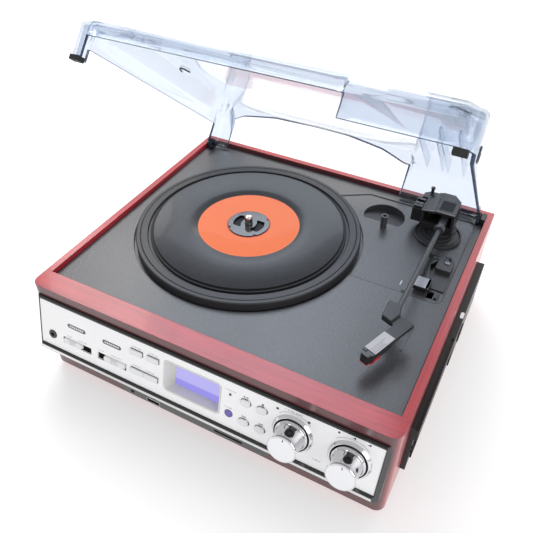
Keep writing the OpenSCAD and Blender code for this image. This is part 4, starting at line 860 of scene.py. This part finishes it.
def cover_outline():
    """Stations round the cover: outer place, lower ridge, upper ridge and the height of its lower edge."""
    flat = HALF_COVER - COVER_CORNER
    front_centre, rear_centre = COVER_LENGTH - COVER_CORNER, COVER_REAR + COVER_CORNER
    side_steps = [COVER_CORNER + (front_centre - COVER_CORNER) * i / 40 for i in range(41)]

    gap_left, gap_right = FINGER_GAP
    front_steps = [-flat, gap_left - 0.1, gap_left]
    front_steps += [gap_left + (gap_right - gap_left) * i / 24 for i in range(1, 24)]
    front_steps += [gap_right, gap_right + 0.1]
    front_steps += [gap_right + (flat - gap_right) * i / 8 for i in range(1, 9)]
    front = []
    for x in front_steps:
        low = EDGE_FINGER if gap_left <= x <= gap_right else EDGE_FRONT
        share = x / flat
        front.append(((x, COVER_LENGTH), across(share, FRONT_RIDGE), across(share, FRONT_TOP), low))

    arch_left, arch_right = REAR_ARCH[0][0], REAR_ARCH[-1][0]
    rear_steps = [flat, 100, arch_right + 0.1]
    rear_steps += [arch_right - (arch_right - arch_left) * i / 60 for i in range(61)]
    rear_steps += [arch_left - 0.1, -flat]
    rear = []
    for x in rear_steps:
        share = x / flat
        rear.append(((x, COVER_REAR), across(share, REAR_RIDGE), across(share, REAR_TOP), arch_height(x)))

    # The left wall's stations run from the rear to the front, the right wall's run back
    front_corner = (FRONT_RIDGE, FRONT_TOP, EDGE_FRONT)
    rear_corner = (REAR_RIDGE, REAR_TOP, EDGE_LOW)
    stations = side_wall(-1, side_steps) + cover_corner(-1, front_centre, 180, *front_corner)
    stations += front + cover_corner(1, front_centre, 90, *front_corner)
    stations += side_wall(1, side_steps[::-1]) + cover_corner(1, rear_centre, 0, *rear_corner)
    return stations + rear + cover_corner(-1, rear_centre, -90, *rear_corner)


def clipped(line, low):
    """The part of a section line above a height."""
    kept = []
    for start, end in zip(line, line[1:]):
        if end.z <= low:
            continue
        if start.z < low:
            start = start.lerp(end, (low - start.z) / (end.z - start.z))
        if not kept:
            kept.append(start)
        kept.append(end)
    return kept or [line[-1], line[-1]]


def evenly(line, count):
    """The same line as a number of evenly spaced points."""
    lengths = [0.0]
    for p, q in zip(line, line[1:]):
        lengths.append(lengths[-1] + (q - p).length)
    points = []
    for i in range(count):
        target = lengths[-1] * (i / (count - 1))
        k = max(j for j in range(len(lengths)) if lengths[j] <= target + TINY)
        if k >= len(line) - 1:
            points.append(line[-1])
        else:
            part = (target - lengths[k]) / max(lengths[k + 1] - lengths[k], TINY)
            points.append(line[k].lerp(line[k + 1], part))
    return points


def build_cover():
    """The clear shell with its wall thickness, its ribs, ears and hook, and the hinge parts."""
    finish, sizes, _ = settings()
    rows = []
    for (x, a), low_ridge, top, low in cover_outline():
        roof = (top[0] * 0.96, top[1] * 0.94 + 6, ROOF)
        wall = [(x, a, COVER_START), (x, a, WALL_TOP), low_ridge, top, roof]
        rows.append(evenly(clipped(softened(wall, [3.0, 4.0, 5.0]), low), COVER_POINTS))
    form = Form(COVER @ Matrix.Scale(-1, 4, (0, 1, 0)))
    mesh = form.mesh
    grid = [[mesh.verts.new((form.matrix @ p) * MM) for p in row] for row in rows]
    size = len(grid)
    for i in range(size):
        j = (i + 1) % size
        for k in range(COVER_POINTS - 1):
            mesh.faces.new((grid[i][k], grid[j][k], grid[j][k + 1], grid[i][k + 1]))
    mesh.faces.new([row[-1] for row in grid])
    bmesh.ops.remove_doubles(mesh, verts=mesh.verts, dist=0.00002)
    bmesh.ops.dissolve_degenerate(mesh, edges=mesh.edges, dist=0.00001)
    clear = clear_plastic("cover_clear", finish.cover_tint)
    rim = cut_edge("cover_edge", (0.09, 0.12, 0.18))
    cover = place(form, "dust_cover_shell", "cover_body", "clear_cover", clear, ("dust_cover",))
    cover.data.materials.append(rim)
    shell = cover.modifiers.new("Thickness", "SOLIDIFY")
    shell.thickness = sizes.cover_thickness
    shell.offset = -1.0
    shell.material_offset_rim = 1
    ribs = Form(COVER)
    for x, reach in ((88, 100), (103, 100), (108, 140), (123, 140)):
        side_line = [(-16, 33.5), (-reach, 39.5), (-reach, 43.9), (-20, 43.9)]
        ribs.loft([[(u, y, z) for y, z in side_line] for u in (x, x + 1.4)])
    place(ribs, "dust_cover_ribs", "cover_body", "clear_cover", clear)
    ears = Form(COVER)
    half_wall = 1.25
    for side in (-1, 1):
        x = side * (HALF_COVER - half_wall)
        ears.rod((x - half_wall, 0, 0), (x + half_wall, 0, 0), 4.6, count=32)
        ears.box((x - half_wall, -10.6, 0), (x + half_wall, 0, 6))
    place(ears, "dust_cover_ears", "cover_body", "clear_cover", rim)
    bend = [(-133.5, -124, 42.5), (-132.0, -131, 42.8), (-129.0, -134.5, 43.0), (-126.0, -133, 43.0),
            (-123.5, -127, 43.0)]
    hook = Form(COVER).wire(bend, 0.7)
    place(hook, "dust_cover_hook", "cover_body", "clear_cover", rim)
    dress(("lid_feet",), surface("lid_foot_rubber", (0.015, 0.015, 0.016), 0.55, grain=800, depth=0.00005))
    dress(("lid_clip",), surface("clip_wire", (0.10, 0.10, 0.11), 0.3, metal=1.0))
    dress(("hinge_blocks",), surface("hinge_black", (0.02, 0.02, 0.022), 0.35))


def build_panel():
    """The silver plate in its black housing, the bead, the grey strip and the sockets."""
    finish = settings()[0]
    silver = surface("panel_paint", finish.plate_color, 0.36, metal=0.25, grain=1500, depth=0.00001,
                     change=0.02, wear=0.04)
    gloss = surface("housing_gloss", (0.010, 0.010, 0.011), 0.18, coat=0.4, grain=400, edge=0.0008)
    dress(("front_plate",), silver)
    dress(("panel_housing",), gloss)
    chrome = surface("bead_chrome", (0.015, 0.015, 0.016), 0.3, grain=300, specular=0.25)
    bead = Form(PLATE)
    bead.box((-153.0, 1.8, -0.9), (153.0, 2.5, 0.8))
    place(bead, "panel_bead", "cabinet", "panel_silver", chrome)
    strip = Form()
    strip.loft([[(x, -155.15, 46.0), (x, -154.9, 42.4), (x, -153.0, 42.4), (x, -153.0, 46.0)]
                for x in (-152.0, 152.0)])
    grey = surface("strip_grey", (0.80, 0.80, 0.81), 0.25, metal=0.5)
    place(strip, "panel_strip", "cabinet", "panel_silver", grey)
    dress(("remote_window",), surface("window_violet", (0.10, 0.06, 0.36), 0.10, coat=0.8, edge=0.0003))
    dress(("headphone_jack",), surface("jack_black", (0.02, 0.02, 0.022), 0.3))
    dress(("socket_pod",), gloss)
    dress(("usb_socket",), surface("usb_steel", (0.55, 0.55, 0.57), 0.25, metal=1.0))


def build_prints():
    """The generic marks printed on the panel."""
    sizes = settings()[1]
    ink = surface("print_dark", (0.045, 0.045, 0.05), 0.5, edge=0)
    pale = surface("print_grey", (0.42, 0.42, 0.44), 0.5, edge=0)
    low, high = -0.2, sizes.print_height / MM
    pills = Form(PLATE)
    for x0, x1 in ((-123.0, -103.6), (-86.0, -67.0)):
        pills.prism(rounded((x0, -17.5), (x1, -13.5), 1.95), low, high)
    pill = surface("pill_grey", (0.13, 0.13, 0.14), 0.5, edge=0)
    place(pills, "print_pills", "cabinet", "panel_silver", pill)
    dark = Form(PLATE)
    for x, s in ((72.5, 5.1), (97.2, 5.6)):
        dark.prism([(x + u, -s + v) for u, v in circle(1.1, 20)], low, high)
    dark.prism([(x + 119.3, y - 2.4) for x, y in circle(0.9, 16)], low, high)
    dark.prism([(129.0, -2.0), (131.4, -2.9), (131.4, -0.9)], low, high)
    dark.prism([(139.8, -2.9), (142.4, -2.9), (142.4, -0.9)], low, high)
    place(dark, "print_dark_marks", "cabinet", "panel_silver", ink)

    grey = Form(PLATE)
    for x in KNOBS:
        for start, end in ((48, 78), (80, 102), (104, 132)):
            grey.prism(band((x, -KNOB_S), 18.3, 18.7, start, end, 12), low, high)

    def dashes(x0, x1, s, height, count):
        """A row of short printed bars of uneven width."""
        pitch = (x1 - x0) / count
        for i in range(count):
            start = x0 + i * pitch
            width = pitch * (0.55 + 0.2 * ((i * 7) % 3 - 1))
            grey.box((start, -s - height / 2, low), (start + width, -s + height / 2, high))

    dashes(-124, -118, 26.4, 0.8, 4)
    dashes(-112, -103, 26.6, 0.8, 6)
    dashes(-90, -84, 26.0, 0.8, 4)
    dashes(-78, -66, 26.2, 0.8, 8)
    for x0, x1, s in ((-57, -46.4, 7.2), (-41, -30.6, 7.0), (-56.5, -47, 25.4), (-43.4, -33, 25.4)):
        dashes(x0 + 1, x1 - 1, s, 0.8, 6)
    dashes(29.5, 39.0, 8.0, 0.8, 6)
    dashes(30.5, 38.0, 24.6, 0.9, 4)
    dashes(104.5, 111.5, 35.9, 1.0, 5)
    dashes(78, 93, 2.6, 0.8, 7)
    place(grey, "print_grey_marks", "cabinet", "panel_silver", pale)

    white = Form(PLATE)
    for x0 in (-120.5, -83.5):
        for i in range(7):
            start = x0 + i * 2.1
            white.box((start, -16.3, high - 0.01), (start + 1.5, -14.7, high + 0.03))
    bright = surface("print_white", (0.8, 0.8, 0.8), 0.5, edge=0)
    place(white, "print_white_marks", "cabinet", "panel_silver", bright)

    signs = Form(PLATE)
    sign_rise = 5.1
    for (x, button_s), kind in zip(OVALS, ("play", "stop", "back", "next")):
        s = button_s - sign_rise
        if kind == "play":
            signs.prism([(x - 2.0, -s - 0.8), (x - 0.4, -s), (x - 2.0, -s + 0.8)], low, high)
            for u in (0.2, 1.1):
                signs.box((x + u, -s - 0.8, low), (x + u + 0.5, -s + 0.8, high))
        elif kind == "stop":
            signs.box((x - 0.8, -s - 0.8, low), (x + 0.8, -s + 0.8, high))
        else:
            way = -1 if kind == "back" else 1
            for u in (-1.1, 0.3):
                tip = x + way * (u + 1.2)
                signs.prism([(x + way * u, -s - 0.8), (tip, -s), (x + way * u, -s + 0.8)], low, high)
            signs.box((x + way * 1.7 - 0.2, -s - 0.8, low), (x + way * 1.7 + 0.2, -s + 0.8, high))
    place(signs, "print_transport_signs", "cabinet", "panel_silver", ink)


def build_knobs():
    """The tuning and volume knobs with their faces, pointers, shafts and bezels, and dark rings in their
    wells as painted shadow.
    """
    chrome = surface("knob_chrome", (0.66, 0.66, 0.68), 0.05, metal=1.0, grain=200, depth=0.000003,
                     change=0.02, edge=0.0, wear=0.03)
    satin = surface("bezel_chrome", (0.72, 0.72, 0.74), 0.12, metal=1.0, grain=300, edge=0.0003)
    face = surface("knob_face", (0.80, 0.80, 0.82), 0.16, metal=0.9, grain=400, depth=0.000004,
                   change=0.02, edge=0.0, wear=0.03)
    dark = surface("knob_gap_shadow_and_pointer", (0.008, 0.008, 0.009), 0.5)
    dress(("knob_bezels",), satin)
    # Dark rings between each bezel and its knob: painted shadow in the gap.
    gap_shadows = Form(PLATE)
    for x in KNOBS:
        gap_shadows.lathe([(13.1, -1.45), (14.05, -1.45), (14.05, 0.9), (13.1, 0.2)], (x, -KNOB_S, 0), 64, ring=True)
    place(gap_shadows, "knob_well_shadows", "cabinet", "housing_black", dark)
    skirt = [(0, 0.6), (12.2, 0.6), (12.9, 1.0), (13.0, 1.5), (13.0, 2.3), (12.8, 2.9), (12.4, 3.2),
             (11.9, 3.4), (11.5, 3.9)]
    neck = [(11.2, 5.0), (10.9, 7.0), (10.6, 9.5), (10.4, 12.0), (10.35, 14.6), (10.6, 16.4)]
    crown = [(11.1, 17.3), (11.25, 17.9), (10.95, 18.3), (10.3, 18.35)]
    for x, node in zip(KNOBS, ("tuning", "volume")):
        centre = (x, -KNOB_S, 0)
        knob = Form(PLATE).lathe(skirt + neck + crown, centre, 96)
        place(knob, f"{node}_knob_shell", f"{node}_body", "knob_chrome", chrome, (f"{node}_knob",))
        top = Form(PLATE).lathe([(0, 18.36), (10.2, 18.36), (10.0, 18.5), (0, 18.5)], centre, 64)
        place(top, f"{node}_knob_face", f"{node}_body", "knob_chrome", face)
        notch = Form(PLATE).prism([(x - 0.35, -KNOB_S + 7.2), (x + 0.35, -KNOB_S + 7.2),
                                   (x + 0.35, -KNOB_S + 9.4), (x - 0.35, -KNOB_S + 9.4)], 18.3, 18.53)
        place(notch, f"{node}_knob_pointer", f"{node}_body", "knob_chrome", dark)
        shaft = Form(PLATE).lathe([(3.0, -11.6), (3.0, 0.7)], centre, 32)
        place(shaft, f"{node}_knob_shaft", f"{node}_body", "knob_chrome", satin)


def build_buttons():
    """The push buttons with painted shadow in the gaps beside them, and the two slide switch caps."""
    white = surface("button_white", (0.82, 0.82, 0.83), 0.22, coat=0.4, grain=500, change=0.02,
                    edge=0.0006, wear=0.04)
    for i in range(1, 5):
        dress((f"key_button_{i}", f"oval_button_{i}"), white)
    # Black strips and crescents on the upper and right edges of the buttons: painted shadow in the gaps.
    gap_shadows = Form(PLATE)
    low, high = -0.5, 0.12
    for x0, x1, s0, s1 in KEYS:
        gap_shadows.box((x0, -s0, low), (x1 + BUTTON_GAP_SHADOW, -s0 + BUTTON_GAP_SHADOW, high))
        gap_shadows.box((x1, -s1, low), (x1 + BUTTON_GAP_SHADOW, -s0 + BUTTON_GAP_SHADOW, high))
    for x, s in OVALS:
        for start, end in ((-25, 40), (70, 150)):
            crescent = oval((x, -s), OVAL_ACROSS + BUTTON_GAP_SHADOW, OVAL_DOWN + BUTTON_GAP_SHADOW, start, end)
            crescent += oval((x, -s), OVAL_ACROSS, OVAL_DOWN, end, start)
            gap_shadows.prism(crescent, low, high)
    shadow = surface("gap_painted_shadow", (0.008, 0.008, 0.009), 0.6, edge=0, specular=0.2)
    place(gap_shadows, "button_gap_shadows", "cabinet", "panel_silver", shadow)
    for name, (x0, x1, s0, s1) in CAPS.items():
        cap = Form(PLATE)
        foot = rounded((x0, -s1), (x1, -s0), 2.95)
        face = rounded((x0 + 0.5, -s1 + 0.5), (x1 - 0.5, -s0 - 0.5), 2.45)
        cap.prism(foot, -1.3, 0.9, face)
        middle = (x0 + x1) / 2
        for k in range(-2, 3):
            ridge = middle + k * 1.5
            cap.prism(rounded((ridge - 0.45, -s1 + 1.0), (ridge + 0.45, -s0 - 1.0), 0.4), 0.8, 1.5)
        cap.box((middle - 1.5, -s1 + 1.8, -8.7), (middle + 1.5, -s0 - 1.8, 0))
        place(cap, f"{name}_cap", f"{name}_body", "button_white", white, (f"{name}_knob",), 0.2)
    # Near-black sheets with little shine low in the slots under the switch caps: painted shade.
    well_shade_boxes = Form(PLATE)
    well_shade_boxes.box((-128.2, -35.3, -1.62), (-98.1, -29.0, -1.42))
    well_shade_boxes.box((-91.1, -35.3, -1.62), (-61.8, -28.7, -1.42))
    well_shade = surface("well_painted_shade", (0.003, 0.003, 0.004), 0.7, specular=0.1, edge=0)
    place(well_shade_boxes, "slide_well_shades", "cabinet", "housing_black", well_shade)


def build_display():
    """The tub with the lit display behind its glass, and the power lamp."""
    finish = settings()[0]
    dress(("display_tub",), surface("tub_grey", (0.74, 0.74, 0.68), 0.35, grain=900, edge=0.0006))
    low = tuple(finish.display_color)
    high = tuple(min(1.0, c * 1.12 + 0.14) for c in low)
    low_corner, high_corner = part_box("display_glass")
    split = low_corner.z + (high_corner.z - low_corner.z) * 0.30
    dress(("display_glass",), lit_display("display_lit", high, low, split))
    lamp = Form(PLATE).lathe([(1.0, -0.4), (1.0, 0.5), (0.7, 0.8), (0, 0.85)], (34.2, -11.8, 0), 24)
    red = surface("lamp_red", (0.16, 0.03, 0.035), 0.2, coat=0.6)
    place(lamp, "power_lamp", "cabinet", "window_purple", red)


def build_side():
    """The cassette unit in its black fascia on the right side."""
    black = surface("fascia_black", (0.010, 0.010, 0.011), 0.34, grain=900, depth=0.00003, specular=0.35)
    dress(("side_fascia", "cassette_door", "eject_button"), black)
    dress(("cassette_mechanism",), surface("mechanism_grey", (0.16, 0.16, 0.17), 0.4))
    silver = surface("fascia_silver", (0.5, 0.5, 0.52), 0.25, metal=0.9)
    marks = Form()
    marks.prism(rounded((163.0, 22.0), (166.2, 30.0), 1.4), 69.8, 70.3)
    place(marks, "fascia_marks", "cabinet", "chassis_grey", silver)


def build_inside():
    """The finishes of the pieces that are hidden in the cabinet or at its back."""
    dress(("spindle_bearing",), surface("bearing_brass", (0.55, 0.40, 0.16), 0.25, metal=1.0))
    dress(("drive_motor",), surface("motor_plate", (0.45, 0.45, 0.47), 0.3, metal=1.0))
    dress(("motor_pulley",), surface("pulley_brass", (0.55, 0.42, 0.18), 0.22, metal=1.0))
    dress(("drive_belt",), surface("belt_rubber", (0.02, 0.02, 0.02), 0.7))
    board = surface("circuit_green", (0.04, 0.15, 0.06), 0.35, coat=0.3)
    dress(("main_circuit_board", "control_circuit_board"), board)
    dress(("speakers",), surface("speaker_paper", (0.04, 0.04, 0.042), 0.75, grain=700, depth=0.00008))
    dress(("rear_socket_plate",), surface("socket_plate", (0.03, 0.03, 0.033), 0.4))


def build_stage():
    """The pale floor, the even sky, three lights and the camera of the photograph."""
    stage = settings()[2]
    scene = bpy.context.scene
    world = bpy.data.worlds.new("studio")
    world.use_nodes = True
    back = world.node_tree.nodes["Background"]
    back.inputs["Color"].default_value = (1.0, 1.0, 1.0, 1)
    back.inputs["Strength"].default_value = stage.sky
    scene.world = world
    floor = Form().box((-4000, -4000, -2), (4000, 4000, -0.02))
    ground = finished(floor, "floor")
    pale = Shader("floor_pale")
    speck = pale.noise(40.0, 3)
    tint = pale.mix(speck, (0.60, 0.60, 0.605, 1), (0.62, 0.62, 0.625, 1))
    inputs = {
        "Base Color": tint, "Roughness": pale.spread(speck, 0.85, 0.95),
        "Normal": pale.bump(speck, 0.00002), "Emission Color": (1, 1, 1, 1), "Emission Strength": 0.46,
    }
    ground.data.materials.append(pale.finish(pale.add("BsdfPrincipled", inputs).outputs[0]))

    def light(name, power, size, position, target):
        """A rectangular lamp that looks at a target."""
        data = bpy.data.lights.new(name, "AREA")
        data.shape = "RECTANGLE"
        data.size, data.size_y = size
        data.energy = power
        lamp = bpy.data.objects.new(name, data)
        scene.collection.objects.link(lamp)
        lamp.location = position
        lamp.rotation_euler = (Vector(target) - Vector(position)).to_track_quat("-Z", "Y").to_euler()

    light("key_light", stage.key_power, (1.0, 0.8), (-0.52, 0.66, 1.16), (0, 0, 0.08))
    light("side_light", stage.side_power, (0.9, 0.9), (1.3, -0.7, 0.7), (0.1, 0, 0.05))
    light("rear_light", stage.rear_power, (1.0, 0.7), (0.2, 1.1, 0.8), (0, 0, 0.1))

    data = bpy.data.cameras.new("photo_camera")
    data.lens = CAMERA_LENS
    data.sensor_width = SENSOR
    camera = bpy.data.objects.new("photo_camera", data)
    scene.collection.objects.link(camera)
    turn, tilt, roll = (math.radians(v) for v in CAMERA_TURN)
    spin = Matrix.Rotation(turn, 4, "Z") @ Matrix.Rotation(tilt, 4, "X") @ Matrix.Rotation(roll, 4, "Z")
    camera.matrix_world = Matrix.Translation(CAMERA_PLACE) @ spin
    scene.camera = camera
    scene.view_settings.view_transform = "Standard"


# Operators


class MUSICCENTRE_OT_cabinet(bpy.types.Operator):
    """Finish the wooden cabinet with its base, feet and screws"""

    bl_idname = "music_centre.cabinet"
    bl_label = "Cabinet"

    def execute(self, context):
        build_cabinet()
        return {"FINISHED"}


class MUSICCENTRE_OT_deck(bpy.types.Operator):
    """Finish the deck and its small marks"""

    bl_idname = "music_centre.deck"
    bl_label = "Deck"

    def execute(self, context):
        build_deck()
        return {"FINISHED"}


class MUSICCENTRE_OT_platter(bpy.types.Operator):
    """Finish the platter, mat, record, adapter and spindle"""

    bl_idname = "music_centre.platter"
    bl_label = "Platter and record"

    def execute(self, context):
        build_platter()
        return {"FINISHED"}


class MUSICCENTRE_OT_arm(bpy.types.Operator):
    """Build the pickup arm with its base, turret, head and lever"""

    bl_idname = "music_centre.arm"
    bl_label = "Pickup arm"

    def execute(self, context):
        build_arm_base()
        build_arm()
        build_lever()
        return {"FINISHED"}


class MUSICCENTRE_OT_cover(bpy.types.Operator):
    """Build the clear dust cover with its ribs, feet and clip"""

    bl_idname = "music_centre.cover"
    bl_label = "Dust cover"

    def execute(self, context):
        build_cover()
        return {"FINISHED"}


class MUSICCENTRE_OT_panel(bpy.types.Operator):
    """Finish the panel, its housing and the sockets"""

    bl_idname = "music_centre.panel"
    bl_label = "Control panel"

    def execute(self, context):
        build_panel()
        build_display()
        return {"FINISHED"}


class MUSICCENTRE_OT_prints(bpy.types.Operator):
    """Print the generic marks on the panel"""

    bl_idname = "music_centre.prints"
    bl_label = "Printed marks"

    def execute(self, context):
        build_prints()
        return {"FINISHED"}


class MUSICCENTRE_OT_knobs(bpy.types.Operator):
    """Build the two chrome knobs and finish their bezels"""

    bl_idname = "music_centre.knobs"
    bl_label = "Knobs"

    def execute(self, context):
        build_knobs()
        return {"FINISHED"}


class MUSICCENTRE_OT_buttons(bpy.types.Operator):
    """Finish the push buttons and build the slide switch caps"""

    bl_idname = "music_centre.buttons"
    bl_label = "Buttons and switches"

    def execute(self, context):
        build_buttons()
        return {"FINISHED"}


class MUSICCENTRE_OT_cassette(bpy.types.Operator):
    """Finish the cassette unit on the right side"""

    bl_idname = "music_centre.cassette"
    bl_label = "Cassette unit"

    def execute(self, context):
        build_side()
        return {"FINISHED"}


class MUSICCENTRE_OT_inside(bpy.types.Operator):
    """Finish the motor, speakers, circuit boards and rear sockets"""

    bl_idname = "music_centre.inside"
    bl_label = "Inner parts"

    def execute(self, context):
        build_inside()
        return {"FINISHED"}


class MUSICCENTRE_OT_stage(bpy.types.Operator):
    """Set the floor, the lights and the camera"""

    bl_idname = "music_centre.stage"
    bl_label = "Stage"

    def execute(self, context):
        build_stage()
        return {"FINISHED"}


OPERATORS = (
    MUSICCENTRE_OT_cabinet, MUSICCENTRE_OT_deck, MUSICCENTRE_OT_platter, MUSICCENTRE_OT_arm,
    MUSICCENTRE_OT_cover, MUSICCENTRE_OT_panel, MUSICCENTRE_OT_prints, MUSICCENTRE_OT_knobs,
    MUSICCENTRE_OT_buttons, MUSICCENTRE_OT_cassette, MUSICCENTRE_OT_inside, MUSICCENTRE_OT_stage,
)
GROUPS = {
    "music_centre_finish": MusicCentreFinish,
    "music_centre_sizes": MusicCentreSizes,
    "music_centre_stage": MusicCentreStage,
}


class MUSICCENTRE_PT_panel(bpy.types.Panel):
    """The settings and steps of the music centre"""

    bl_idname = "MUSICCENTRE_PT_panel"
    bl_label = "Music centre"
    bl_space_type = "VIEW_3D"
    bl_region_type = "UI"
    bl_category = "Music centre"

    def draw(self, context):
        layout = self.layout
        for name, group in GROUPS.items():
            values = getattr(context.scene, name)
            for key in group.__annotations__:
                layout.prop(values, key)
        for operator in OPERATORS:
            layout.operator(operator.bl_idname)


def register():
    for name, group in GROUPS.items():
        bpy.utils.register_class(group)
        setattr(bpy.types.Scene, name, bpy.props.PointerProperty(type=group))
    for item in (*OPERATORS, MUSICCENTRE_PT_panel):
        bpy.utils.register_class(item)


def unregister():
    for item in (MUSICCENTRE_PT_panel, *reversed(OPERATORS)):
        bpy.utils.unregister_class(item)
    for name, group in GROUPS.items():
        delattr(bpy.types.Scene, name)
        bpy.utils.unregister_class(group)


def main():
    """Registers the add-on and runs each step."""
    register()
    for operator in OPERATORS:
        group, step = operator.bl_idname.split(".")
        getattr(getattr(bpy.ops, group), step)()


if __name__ == "__main__":
    main()
